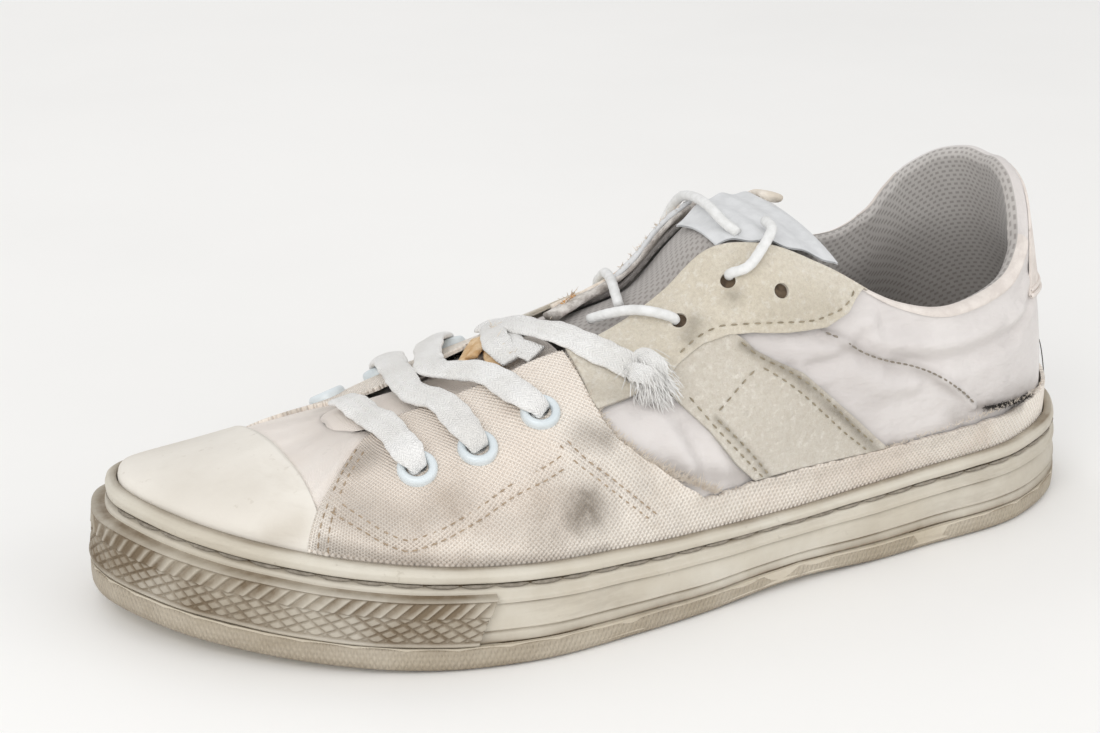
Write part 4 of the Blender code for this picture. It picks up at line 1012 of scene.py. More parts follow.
def toe_bumper():
    turns = np.linspace(turn_at(BUMPER_END, 1), turn_at(BUMPER_END, -1), BUMPER_COLUMNS)
    run = perimeter(turns)
    slant = BUMPER_SLANT * np.sign(0.5 - turns) * np.clip(np.abs(turns - 0.5) * BUMPER_SLANT_START, 0, 1)
    rows = np.array(BUMPER_OUT)
    middle = np.interp(0.5, turns, run)
    edge = np.ones(len(BUMPER_SHARES))
    edge[:3] = edge[-3:][::-1] = (0.0, 0.5, 0.9)
    patches = 0.75 + 0.3 * np.sin(run / 0.011) * np.sin(run / 0.027 + 1)
    patches += 0.35 * np.exp(-(((run - 0.42 * run[-1]) / 0.045) ** 2))
    grid, dirt_and_shade = [], []
    for share, full in zip(BUMPER_SHARES, edge):
        height = bumper_relief(np.abs(run - middle), share)
        lift = (GAP + BUMPER_THICK + 0.95 * MM * height) * full
        moved = turns + slant * (share - 0.5)
        out = np.interp(share, rows[:, 0], rows[:, 1])
        grid.append(foxing_face(moved, share, out, -lift - unevenness(moved, share)))
        dirt_and_shade.append(np.clip((1.15 - 0.85 * height) * patches + (0.5 if full < 0.6 else 0.2), 0, 1))
    grid, dirt_and_shade = np.stack(grid, 1), np.stack(dirt_and_shade, 1)
    shares = BUMPER_SHARES
    ends = np.stack([foxing_face(turns[[0, -1]] + slant[[0, -1]] * (s - 0.5), s, 0.3) for s in shares], 1)
    grid = np.concatenate([ends[:1], grid, ends[1:]])
    dirt_and_shade = np.concatenate([dirt_and_shade[:1], dirt_and_shade, dirt_and_shade[-1:]])
    mesh = make_mesh("bumper_strip", grid, grid_faces(*grid.shape[:2]), dirt_and_shade, weave_of(grid))
    mesh.flip_normals()
    add_piece("bumper_strip", mesh, FINISHES["foxing"], "toe_bumper")


# The upper's skins. Fold tables: side, width mm, depth mm, places (share of LENGTH, height mm)

NYLON_FOLDS = (
    (1, 3.2, 1.0, ((0.13, 62), (0.20, 59), (0.29, 63))),
    (1, 2.8, -0.8, ((0.10, 57), (0.18, 53), (0.27, 55))),
    (1, 2.4, 0.7, ((0.05, 66), (0.07, 60), (0.10, 56))),
    (1, 2.2, 0.6, ((0.08, 68), (0.11, 62), (0.14, 58))),
    (1, 3.0, 0.8, ((0.300, 69), (0.330, 64), (0.360, 65), (0.385, 66.5))),
    (1, 2.4, -0.7, ((0.310, 66), (0.340, 61), (0.365, 60))),
    (1, 3.4, 0.7, ((0.250, 49), (0.285, 50), (0.315, 56))),
    (1, 3.0, 0.8, ((0.53, 54), (0.515, 47), (0.50, 40))),
    (1, 2.8, -0.7, ((0.50, 50), (0.485, 42), (0.475, 35))),
    (1, 1.2, 0.55, ((0.352, 69), (0.331, 66), (0.317, 63), (0.297, 60), (0.254, 55), (0.222, 50), (0.171, 37))),
    (-1, 3.4, 0.9, ((0.10, 60), (0.20, 52), (0.30, 54))),
    (-1, 3.0, -0.8, ((0.15, 48), (0.26, 45), (0.36, 52))),
)
# Stain tables: side, width mm, how dirty (on the side stripe, how dark), places
NYLON_STAINS = (
    (1, 2.2, 0.9, ((0.165, 36.5), (0.129, 35.2), (0.098, 34.4))),
    (1, 4.5, 0.45, ((0.19, 36), (0.129, 36), (0.06, 34))),
    (1, 3.0, 0.35, ((0.44, 33), (0.50, 38), (0.56, 46))),
    (1, 2.0, 0.3, ((0.352, 69), (0.317, 63), (0.254, 55), (0.171, 37))),
    (-1, 5.0, 0.4, ((0.08, 36), (0.20, 33), (0.34, 32))),
)
CANVAS_FOLDS = (
    (1, 3.5, 0.7, ((0.66, 32), (0.67, 42), (0.68, 50))),
    (1, 3.0, -0.6, ((0.74, 30), (0.75, 38))),
    (1, 1.6, 0.45, ((0.862, 41), (0.832, 37.5), (0.792, 33), (0.728, 38.5), (0.686, 43), (0.627, 48))),
    (1, 1.6, 0.45, ((0.634, 50), (0.621, 46), (0.601, 41.5), (0.576, 35.5), (0.548, 29))),
    (1, 1.8, 0.5, ((0.860, 30), (0.861, 40), (0.855, 45), (0.843, 48.5))),
)
CANVAS_STAINS = (
    (1, 7.2, 1.0, ((0.626, 35.5), (0.615, 36.0))),
    (1, 9.0, 0.28, ((0.565, 42), (0.55, 35), (0.53, 29))),
    (1, 11.0, 0.5, ((0.65, 33.5), (0.61, 36))),
    (1, 5.0, 0.55, ((0.606, 51), (0.588, 50))),
    (1, 7.0, 0.25, ((0.72, 36), (0.68, 34), (0.64, 32))),
    (1, 4.0, 0.5, ((0.855, 46), (0.835, 48))),
    (1, 7.0, 0.35, ((0.85, 40), (0.80, 37), (0.74, 40))),
    (1, 3.0, 0.5, ((0.86, 31), (0.78, 27), (0.70, 24), (0.60, 22))),
    (1, 3.5, 0.30, ((0.49, 32), (0.36, 29), (0.22, 30), (0.12, 33))),
    (1, 9.0, 0.20, ((0.60, 27), (0.48, 27), (0.36, 28), (0.24, 30), (0.12, 32))),
    (1, 2.5, 0.7, ((0.165, 35), (0.129, 34), (0.098, 33))),
    (-1, 5.0, 0.4, ((0.83, 42), (0.70, 36), (0.58, 34))),
)
CAP_STAINS = ((1, 4, 0.3, ((0.885, 35), (0.90, 32))), (1, 9, 0.12, ((0.96, 40), (0.985, 38))), (-1, 9, 0.2, ((0.95, 36),)))
SUEDE_STAINS = (
    (1, 4.0, 0.3, ((0.585, 59), (0.565, 57))), (1, 6.0, 0.18, ((0.40, 76), (0.35, 75))),
    (1, 3.0, 0.5, ((0.483, 70), (0.475, 73))), (1, 3.0, 0.5, ((0.437, 80),)),
)
# Darker lines on the side stripe: a painted shadow of the fold between the seams that run down from (0.440, 69.6) and
# (0.422, 62.8), and a thin darker line along the seam from (0.473, 51) down.
STRIPE_SHADE_AND_SEAM_LINE = (
    (1, 1.6, 0.75, ((0.438, 68.5), (0.405, 62.5), (0.380, 57), (0.355, 50), (0.321, 41), (0.290, 32))),
    (1, 1.0, 0.5, ((0.473, 51), (0.453, 45), (0.438, 40.5), (0.413, 31.5))),
)


def steps_between(start, end, count, crowd=()):
    """Turns from start to end, with more of them near the places in crowd."""
    fine = np.linspace(start, end, 4000)
    weight = np.ones(len(fine))
    for place, width, times in crowd:
        weight += times * np.exp(-(((fine - place) / width) ** 2))
    total = np.cumsum(weight)
    return np.interp(np.linspace(total[0], total[-1], count), total, fine)


def shares_of(turns):
    return sole_section(np.asarray(turns) % 1.0)[0]


def wall_thickness(turns, levels):
    full = np.clip(track(COLLAR_PADDING, shares_of(turns))[..., 0], 0, 1)
    rise = np.clip((levels - PADDING_LOW) / PADDING_SPREAD, 0, 1)
    rise = rise * rise * (3 - 2 * rise)
    return WALL + (COLLAR_WALL - WALL) * full[:, None] * rise


def collar_roll(turns, angles, extra=0.0):
    """Points over the collar's rounded top, from its outer face at 0 to its inner one at pi."""
    top, normal = skin(turns, 1.0)
    wall = wall_thickness(turns, np.ones((len(turns), 1)))[:, 0]
    rise = unit(top - skin(turns, 0.97)[0])
    centre = top - normal * wall[:, None] / 2
    reach = wall[:, None] / 2 + extra
    return np.stack([centre + (normal * np.cos(a) + rise * np.sin(a) * 0.8) * reach for a in angles], axis=1)


def nylon():
    turns = np.linspace(turn_at(0.62, -1) - 1, turn_at(0.62, 1), 520)
    lows, highs = np.full(len(turns), -0.04), np.full(len(turns), 1.0)
    levels = lows[:, None] + (highs - lows)[:, None] * np.linspace(0, 1, 100)[None, :]
    base, normal = skin(turns[:, None], levels)
    grid = base + normal * 1.35 * folds(base, NYLON_FOLDS)[..., None]
    grid = np.concatenate([grid, collar_roll(turns, np.linspace(0, np.pi / 2, 7)[1:])], axis=1)
    dirt_and_shade = stains_and_shade(grid, NYLON_STAINS)
    mesh = make_mesh("nylon_skin", grid, grid_faces(*grid.shape[:2]), dirt_and_shade, weave_of(grid))
    mesh.flip_normals()
    add_piece("nylon_skin", mesh, FINISHES["nylon"])


def lining():
    turns = np.linspace(0, 1, 520, endpoint=False)
    roll = collar_roll(turns, np.linspace(np.pi / 2, np.pi, 8))
    levels = np.broadcast_to(np.linspace(0.99, -0.06, 64), (len(turns), 64))
    base, normal = skin(turns[:, None], levels)
    inner = base - normal * wall_thickness(turns, levels)[..., None]
    grid = np.concatenate([roll, inner], axis=1)
    # Painted shade: the lining is made darker the lower it lies inside the shoe, on the attribute that carries dirt
    # elsewhere.
    depth = np.clip((80 * MM - grid[..., 2]) / (75 * MM), 0, 1)
    mesh = make_mesh("mesh_lining", grid, grid_faces(*grid.shape[:2], True), depth, weave_of(grid))
    mesh.flip_normals()
    add_piece("mesh_lining", mesh, FINISHES["mesh"], "upper")


def binding():
    """The pale tape over the collar's edge, from each flap back to the heel cover."""
    for side, name in ((1, "outer"), (-1, "inner")):
        turns = np.linspace(*sorted(turn_at(s, side) for s in (0.10, 0.318)), 130)
        grid = collar_roll(turns, np.linspace(-0.12, 0.50, 12) * np.pi, 0.25 * MM)
        mesh = make_mesh("collar_tape_" + name, grid, grid_faces(*grid.shape[:2]), np.zeros(grid.shape[:2]), weave_of(grid))
        mesh.flip_normals()
        add_piece("collar_tape_" + name, mesh, FINISHES["binding"])


def level_at_length(turns, x):
    levels = np.linspace(0, 1, 80)
    grid = rib(turns[:, None], levels[None, :])[..., 0]
    falling = np.maximum.accumulate(-grid, axis=1)
    return np.array([np.interp(-x, row, levels) for row in falling])


def vamp():
    turns = np.linspace(turn_at(0.80, 1), turn_at(0.80, -1), 260)
    lows, highs = np.full(len(turns), -0.04), np.full(len(turns), 1.0)
    bends = (
        (1, 1.6, 0.35, ((0.885, 44), (0.862, 51))), (1, 1.4, 0.3, ((0.895, 38), (0.872, 46))),
        (1, 2.4, -0.6, ((0.86, 52), (0.83, 53))),
    )
    # Darker marks at the top of the vamp beside the canvas facing's front corners; on the outer side they run along
    # the crease.
    dark_marks = ((1, 3.0, 0.45, ((0.862, 52), (0.84, 54))), (-1, 4.0, 0.5, ((0.85, 48), (0.82, 51))))
    patch("vamp_skin", turns, lows, highs, 60, 0.0, 0.7 * MM, FINISHES["vamp"], (), bends, dark_marks)


def toe_cap():
    turns = np.linspace(turn_at(CAP_EDGE, 1), turn_at(CAP_EDGE, -1), 260)
    highs = level_at_length(turns, CAP_TOP_EDGE * LENGTH)
    lows = np.full(len(turns), -0.06)
    cap = FINISHES["cap"]
    patch("cap_shell", turns, lows, highs, 60, CANVAS_LIFT, CAP_THICK, cap, ("toe_cap",), (), CAP_STAINS, 0.12)


# The canvas facing's rounded front corner: turn, highest level
FRONT_CORNER = (
    (0.356, 1.00), (0.366, 0.985), (0.379, 0.955), (0.388, 0.91), (0.394, 0.84), (0.398, 0.70), (0.401, 0.50),
    (0.4025, 0.0),
)
# Its top: share of LENGTH, height in mm, up to where it reaches the topline
CANVAS_EDGE = (
    (0.000, 33.5), (0.104, 32.5), (0.246, 31.2), (0.390, 31.5), (0.487, 30.5), (0.510, 35.5), (0.535, 41.0),
    (0.557, 45.3), (0.575, 49.5), (0.586, 54.0), (0.590, 58.0), (0.593, 66.0), (0.595, 80.0),
)
# The places of its frayed, cut-off edges on the outer side
RAW_EDGE = ((0.592, 66), (0.590, 58), (0.579, 51.5), (0.554, 45), (0.530, 40.5), (0.501, 36), (0.472, 31.5))
RAND_EDGE = ((0.472, 31.2), (0.420, 30.6), (0.351, 30.9), (0.254, 32.4), (0.170, 34.6), (0.129, 35.2), (0.03, 34.5))


def canvas_highs(turns):
    shares = shares_of(turns)
    heights = np.interp(shares, *np.array(CANVAS_EDGE).T) * MM
    highs = np.where(shares >= CANVAS_EDGE[-1][0], 1.0, level_at(turns, heights))
    folded = np.minimum(turns % 1.0, 1 - turns % 1.0)
    return np.minimum(highs, np.interp(folded, *np.array(FRONT_CORNER).T))


def canvas():
    end = 0.4024
    raw = [(turn_at(0.588, 1), 0.007, 7), (turn_at(0.588, -1) - 1, 0.007, 7), (-end, 0.01, 4), (end, 0.01, 4)]
    turns = steps_between(-end, end, 760, raw)
    ragged = 0.005 * np.convolve(RANDOM.normal(size=len(turns) + 2), np.ones(3) / 3, "valid")
    highs = np.clip(canvas_highs(turns) + ragged, 0.0, 1.0)
    patch(
        "canvas_cloth", turns, np.full(len(turns), -0.05), highs, 110, CANVAS_LIFT, CANVAS_THICK,
        FINISHES["canvas"], ("canvas",), CANVAS_FOLDS, CANVAS_STAINS, 0.15,
    )
    for name, edge, count, longest in (("raw", RAW_EDGE, 900, 2.8), ("rand", RAND_EDGE, 500, 1.3)):
        frays = []
        for side in (1, -1):
            at, normal = on_side(side, edge, 300, CANVAS_LIFT + 0.5 * CANVAS_THICK)
            frays += fray_threads(at, normal, count, longest * MM)
        tubes(name + "_edge_threads", frays, RANDOM.uniform(0.05, 0.11, len(frays)) * MM, 3, FINISHES["fray"])


def fray_threads(at, normal, count, longest):
    """Loose ends of yarn standing out of a cut edge."""
    ahead, side, _ = frames_along(at, normal)
    hairs = []
    for place in RANDOM.integers(1, len(at) - 1, count):
        away = side[place] * np.sign(side[place][2] + 1e-9)
        aim = unit(away + ahead[place] * RANDOM.normal() * 0.7 + normal[place] * RANDOM.uniform(-0.1, 0.5))
        start = at[place] - away * 0.8 * MM + RANDOM.normal(size=3) * 0.25 * MM
        steps = np.linspace(0, 1, 5)[:, None]
        curl = RANDOM.normal(size=3) * longest * 0.25
        hairs.append(start + aim * longest * RANDOM.uniform(0.3, 1) * steps + curl * steps**2)
    return hairs


FLAP_LOW = (
    (0.305, 79), (0.318, 75.9), (0.327, 73), (0.352, 70.4), (0.392, 70.7), (0.425, 71.4), (0.450, 71.0),
    (0.472, 68.8), (0.501, 63.8), (0.522, 59.2), (0.541, 58.4), (0.560, 57.0), (0.590, 55.5),
)
# The side stripe's two edges
STRIPE_FRONT_EDGE = ((0.280, 0), (0.400, 20), (0.428, 31.1), (0.450, 37.3), (0.479, 47.8), (0.503, 54.5), (0.522, 60))
STRIPE_BACK_EDGE = (
    (0.270, 29), (0.277, 32.3), (0.296, 37.3), (0.321, 44), (0.354, 52.8), (0.380, 59.7), (0.404, 63.5),
    (0.426, 67.1), (0.436, 70), (0.450, 73), (0.522, 90),
)


def heights_to_levels(turns, table):
    return level_at(turns, np.interp(shares_of(turns), *np.array(table).T) * MM)


def suede(side, name):
    turns = np.linspace(turn_at(FLAP_LOW[0][0], side), turn_at(FLAP_LOW[-1][0], side), 190)
    base = canvas_highs(turns) + 0.008
    lows = np.minimum(np.maximum(heights_to_levels(turns, FLAP_LOW), base), 0.99)
    highs = np.full(len(turns), 0.995)
    flap = patch(
        "flap_" + name, turns, lows, highs, 70, EYESTAY_LIFT + 0.3 * MM, SUEDE_THICK,
        FINISHES["suede"], ("suede_eyestay_" + name,), (), SUEDE_STAINS, 0.35,
    )
    turns = np.linspace(turn_at(STRIPE_BACK_EDGE[0][0], side), turn_at(STRIPE_FRONT_EDGE[-1][0], side), 170)
    base = canvas_highs(turns) + 0.006
    roof = np.maximum(heights_to_levels(turns, FLAP_LOW), base) + 0.01
    roof[shares_of(turns) < FLAP_LOW[1][0]] = 1.0
    lows = np.minimum(np.maximum(heights_to_levels(turns, STRIPE_FRONT_EDGE), base), roof)
    highs = np.clip(np.minimum(heights_to_levels(turns, STRIPE_BACK_EDGE), roof), lows, 1)
    # The stripe's darker lines include a painted fold shadow.
    patch(
        "stripe_" + name, turns, lows, highs, 60, EYESTAY_LIFT - 0.4 * MM, SUEDE_THICK,
        FINISHES["panel"], ("suede_stripe_" + name,), (), STRIPE_SHADE_AND_SEAM_LINE, 0.3,
    )
    return flap


def heel_cover():
    turns = np.linspace(turn_at(HEEL_COVER_END, -1) - 1, turn_at(HEEL_COVER_END, 1), 120)
    lows = level_at(turns, HEEL_COVER_LOW * UPPER_HEIGHT)
    highs, finish = np.full(len(turns), 0.99), FINISHES["binding"]
    patch("heel_cover", turns, lows, highs, 40, 0.1 * MM, 0.7 * MM, finish, ("heel_tab",))
    ridges = [skin(turns, lows + k * 0.028, 0.9 * MM)[0] for k in (0.0, 1.0)]
    tubes("heel_ridges", ridges, [0.8 * MM, 0.6 * MM], 8, FINISHES["binding"])


# The tongues, the label and the worn inner flap

def saddle_sheet(name, ends, reach, lift, thickness, material, nodes, puff=0.0, dirt_and_shade=0.0):
    shares, across = np.linspace(*ends, 70), np.linspace(-reach, reach, 60)
    at, normal = saddle(shares[:, None], across[None, :], lift)
    s, a = np.linspace(-1, 1, 70)[:, None], np.linspace(-1, 1, 60)[None, :]
    crown = np.clip(1 - s**8, 0, 1) ** 0.5 * np.clip(1 - a**8, 0, 1) ** 0.5
    upper = at + normal * (puff * crown)[..., None]
    lower = at - normal * (thickness * crown)[..., None]
    faces, count = grid_faces(70, 60), 70 * 60
    flipped = [[count + k for k in face[::-1]] for face in faces]
    marks = np.full(2 * count, dirt_and_shade)
    mesh = make_mesh(name, np.stack([upper, lower]), faces + flipped, marks, np.stack([weave_of(at)] * 2))
    return add_piece(name, mesh, material, *nodes)


def tongues():
    under = -(WALL + 4 * GAP)
    pad, cloth, label = ("tongue_rear",), ("tongue_front",), ("tongue_label",)
    saddle_sheet("tongue_pad", REAR_TONGUE, TONGUE_REACH, under, TONGUE_THICK, FINISHES["mesh"], pad, 0.6 * MM, 0.25)
    saddle_sheet("tongue_cloth", FRONT_TONGUE, TONGUE_REACH, under, FRONT_TONGUE_THICK, FINISHES["vamp"], cloth, 0.3 * MM, 0.2)
    shares = np.linspace(0.64, 0.7925, 60)[:, None]
    rise = np.clip((shares - 0.66) / 0.10, 0, 1)
    at, _ = saddle(shares, np.linspace(-0.99, 0.99, 50)[None, :], (-3.2 + 3.9 * rise * rise * (3 - 2 * rise)) * MM)
    mesh = make_mesh("tongue_root", at, grid_faces(60, 50), np.full((60, 50), 0.15), weave_of(at))
    add_piece("tongue_root", mesh, FINISHES["vamp"])
    shares, across = np.linspace(0.330, 0.440, 50), np.linspace(-1, 1, 50)
    lift = under + LABEL_LIFT + LABEL_THICK + 0.3 * MM
    far, near = saddle(shares, -0.42, lift)[0], saddle(shares, 1.02, lift)[0]
    crown = saddle(shares, 0.30, lift)[0] - (far + near) / 2
    at = (far[:, None] + near[:, None]) / 2 + (near - far)[:, None] * across[None, :, None] / 2
    at = at + crown[:, None] * (1 - 0.30 * across[None, :, None] ** 2)
    ripple = 0.4 * MM * np.sin(shares[:, None] * 190 + 2 * across[None, :])
    at = at + np.array([0, 0, 1.0]) * ripple[..., None]
    grid = np.stack([at, at - np.array([0, 0, LABEL_THICK])])
    faces = grid_faces(50, 50)
    faces += [[2500 + k for k in face[::-1]] for face in faces]
    mesh = make_mesh("bare_label", grid, faces, np.zeros(5000), np.stack([weave_of(at)] * 2))
    add_piece("bare_label", mesh, FINISHES["label"], *label)


def strap(name, rows, width, thick, finish, steps=60):
    """A flat strip over the throat through rows of (share of LENGTH, across, lift in mm)."""
    at, up = route(rows, 24)
    piece, _ = ribbon(name, at, up, width * MM, thick * MM, (), steps)
    piece.data.materials.clear()
    piece.data.materials.append(FINISHES[finish])


# Torn pieces in the throat: name, width mm, thickness mm, finish, route
TORN = (
    ("worn_flap_edge", 7.5, 2.6, "edge",
     ((0.392, -0.92, 0.8), (0.42, -0.84, 1.4), (0.46, -0.82, 1.4), (0.50, -0.78, 1.0), (0.54, -0.66, 0.6), (0.56, -0.5, 0.2))),
    ("worn_flap_layer", 4.0, 1.6, "label",
     ((0.40, -0.76, 2.2), (0.43, -0.72, 2.4), (0.46, -0.70, 2.4), (0.49, -0.68, 2.0))),
    ("worn_flap_rim", 1.6, 1.4, "fray",
     ((0.395, -1.02, 2.0), (0.43, -1.01, 2.2), (0.47, -1.00, 2.2), (0.51, -0.98, 2.0), (0.55, -0.92, 1.6))),
    ("glue_line", 1.3, 0.8, "glue", ((0.468, -0.86, 2.8), (0.480, -0.85, 2.8), (0.492, -0.85, 2.6))),
    ("glue_line_low", 1.6, 0.8, "glue", ((0.530, -0.74, 2.2), (0.538, -0.68, 2.0), (0.545, -0.60, 1.8))),
    ("raw_layer_1", 4.0, 1.2, "backing", ((0.612, -0.95, 2.4), (0.632, -0.5, 2.0), (0.650, -0.1, 1.4))),
    ("raw_layer_2", 3.6, 1.2, "backing", ((0.626, -0.98, 1.8), (0.645, -0.5, 1.2), (0.662, -0.1, 0.4))),
    ("raw_layer_3", 4.2, 1.0, "backing", ((0.618, -0.6, 0.6), (0.636, 0.1, 0.4), (0.640, 0.6, 0.2))),
    ("lace_tuck_1", 7.6, 1.6, "lace", ((0.606, -1.02, 3.6), (0.619, -0.45, 3.4), (0.628, 0.20, 2.6), (0.626, 0.70, 1.2))),
    ("lace_tuck_2", 7.0, 1.6, "lace", ((0.610, -0.30, 1.8), (0.616, 0.30, 1.4), (0.606, 0.80, 0.6))),
)


def torn_pieces():
    for name, width, thick, finish, rows in TORN:
        strap(name, rows, width, thick, finish)
    hairs = []
    for rows, count, longest in ((TORN[0][4], 150, 2.6), (TORN[1][4], 200, 3.0), (TORN[4][4], 60, 3.5), (TORN[8][4], 60, 3.0)):
        at, up = route(rows, 60)
        hairs += fray_threads(at, up, count, longest * MM)
    tubes("throat_threads", hairs, RANDOM.uniform(0.07, 0.16, len(hairs)) * MM, 4, FINISHES["fray"])
    strap("tongue_fold", ((0.330, -0.66, 0.6), (0.329, -0.42, 2.0), (0.333, -0.15, 1.4)), 7.0, 2.8, "cotton")


# Eyelets, laces and cords

def seat(turn, setback, lift):
    levels = np.linspace(1.0, 0.3, 100)
    line = rib(turn, levels)
    run = np.r_[0, np.cumsum(np.linalg.norm(np.diff(line, axis=0), axis=1))]
    return skin(turn, np.interp(setback, run, levels), lift)


def across_axes(normal):
    first = unit(np.cross(normal, [0, 0, 1.0]))
    return first, np.cross(normal, first)


def disc(name, at, normal, radius, finish):
    first, second = across_axes(normal)
    angles = np.linspace(0, 2 * np.pi, 32, endpoint=False)
    rim = [at + (first * np.cos(a) + second * np.sin(a)) * radius for a in angles]
    add_piece(name, make_mesh(name, rim, [list(range(len(rim)))]), FINISHES[finish])


def eyelet(name, at, normal, node):
    hole, ring = EYELET_HOLE_RADIUS, EYELET_RING_RADIUS
    middle, half = (hole + ring) / 2, (ring - hole) / 2
    profile = [(hole, -3.0 * MM), (hole, -0.4 * MM)]
    for angle in np.linspace(np.pi, 0, 11):
        profile.append((middle + half * np.cos(angle), 1.25 * EYELET_FLANGE * np.sin(angle)))
    profile.append((ring, -1.2 * MM))
    first, second = across_axes(normal)
    angles = np.linspace(0, 2 * np.pi, 48, endpoint=False)
    grid = [[at + (first * np.cos(a) + second * np.sin(a)) * r + normal * z for r, z in profile] for a in angles]
    grid = np.array(grid)
    mesh = make_mesh(name, grid, grid_faces(*grid.shape[:2], True))
    mesh.flip_normals()
    add_piece(name, mesh, FINISHES["enamel"], node)
    disc(name + "_inside", at - normal * 1.7 * MM, normal, hole + 0.2 * MM, "dark")


def ribbon(name, at, up, width, thick, nodes=(), steps=120):
    """A flat woven lace with soft edges. Its width and thickness may change along it."""
    run = np.r_[0, np.cumsum(np.linalg.norm(np.diff(at, axis=0), axis=1))]
    fine = np.linspace(0, run[-1], steps)
    table = np.column_stack([run, at, up, np.broadcast_to(width, len(at)), np.broadcast_to(thick, len(at))])
    found = track(table, fine)
    at, up, width, thick = found[:, :3], unit(found[:, 3:6]), found[:, 6], found[:, 7]
    _, side, rise = frames_along(at, up)
    angles = np.linspace(0, 2 * np.pi, 24, endpoint=False)
    across = np.sign(np.cos(angles)) * np.abs(np.cos(angles)) ** 0.7
    over = np.sign(np.sin(angles)) * np.abs(np.sin(angles)) ** 0.8
    phase = RANDOM.uniform(0, 6)
    ripple = 1 + 0.05 * np.sin(fine / (2.3 * MM) + phase) + 0.03 * np.sin(fine / (0.9 * MM) + 1)
    half = (width * ripple / 2)[:, None, None]
    cup = 0.10 * thick * np.sin(fine / (3.1 * MM) + phase)
    height = over[None, :] * (thick / 2)[:, None] - cup[:, None] * (across[None, :] ** 2) * 2
    sections = at[:, None] + side[:, None] * across[None, :, None] * half + rise[:, None] * height[..., None]
    weave = np.stack(np.broadcast_arrays(fine[:, None], across[None, :] * LACE_WIDTH / 2), -1)
    return sweep(name, sections, FINISHES["lace"], nodes, False, None, weave), at


def lace_between(name, rows, ends, nodes=()):
    """A crossing lace whose ends go down through their eyelets."""
    at, up = route(rows, 16)
    at, up = at[1:-1], up[1:-1]
    width, thick = np.full(len(at), LACE_WIDTH), np.full(len(at), 2.1 * MM)
    before, after = ends
    if before is not None:
        place, normal = before
        lead = [place - normal * 3 * MM, place + normal * 0.9 * MM]
        at, up = np.vstack([lead, at]), np.vstack([up[:1], up[:1], up])
        width, thick = np.r_[4.6 * MM, 5.4 * MM, width], np.r_[3.0 * MM, 2.6 * MM, thick]
    if after is not None:
        place, normal = after
        lead = [place + normal * 0.9 * MM, place - normal * 3 * MM]
        at, up = np.vstack([at, lead]), np.vstack([up, up[-1:], up[-1:]])
        width, thick = np.r_[width, 5.4 * MM, 4.6 * MM], np.r_[thick, 2.6 * MM, 3.0 * MM]
    return ribbon(name, at, up, width, thick, nodes)


def lacing():
    seats = {}
    for half, name in enumerate(("outer", "inner")):
        for number, (share, setback) in enumerate(EYELET_ROWS, start=1):
            at, normal = seat(throat_turns(share)[half], setback * MM, EYELET_SEAT + 0.2 * MM)
            eyelet(f"ring_{name}_{number}", at, normal, f"eyelet_{name}_{number}")
            seats[name, number] = at, normal
    for number, rows in enumerate(CROSSINGS[:3], start=1):
        start = seats["inner", number] if number > 1 else None
        nodes = ("lace_crossings",) if number == 1 else ()
        lace_between(f"lace_strap_{number}", rows, (start, seats["outer", number]), nodes)
    at, up = route(LACE_END, 24)
    piece, path = ribbon("lace_free_end", at, up, LACE_WIDTH, 2.0 * MM, ("lace_end",))
    knot = knot_piece(path)
    for number, rows in enumerate(CORD_BARS, start=1):
        at, up = route(into_holes(rows), 48)
        _, side, rise = frames_along(at, up)
        angles = np.linspace(0, 2 * np.pi, 14, endpoint=False)
        ring = side[:, None] * np.cos(angles)[None, :, None] + rise[:, None] * np.sin(angles)[None, :, None]
        girth = (1 + 0.03 * np.sin(np.arange(len(at)) * 1.7 + number))[:, None, None]
        sweep(f"round_cord_{number}", at[:, None] + ring * girth * 0.95 * CORD_RADIUS, FINISHES["cord"], (f"cord_bar_{number}",))


def into_holes(rows):
    """A cord's route whose ends over a flap go down through the nearest punched hole."""
    rows = list(rows)
    for end in (0, -1):
        share, across, lift = rows[end]
        if abs(across) < 1.2:
            continue
        hole, setback = min(PUNCH_ROWS, key=lambda row: abs(row[0] - share))
        if abs(hole - share) > 0.012:
            hole, setback = share, 11.0
        half = 0 if across > 0 else 1
        levels = np.linspace(1.0, 0.6, 60)
        line = rib(throat_turns(hole)[half], levels)
        run = np.r_[0, np.cumsum(np.linalg.norm(np.diff(line, axis=0), axis=1))]
        reach = np.sign(across) * (1 + 2 * (1 - np.interp(setback * MM, run, levels)))
        near = rows[1] if end == 0 else rows[-2]
        hole += np.clip(near[0] - hole, -0.0036, 0.0036)
        reach += np.clip(near[1] - reach, -0.04, 0.04)
        down = [(hole, reach, 3.0), (hole, reach, -2.5)]
        rows = down[::-1] + rows[1:] if end == 0 else rows[:-1] + down
    return rows


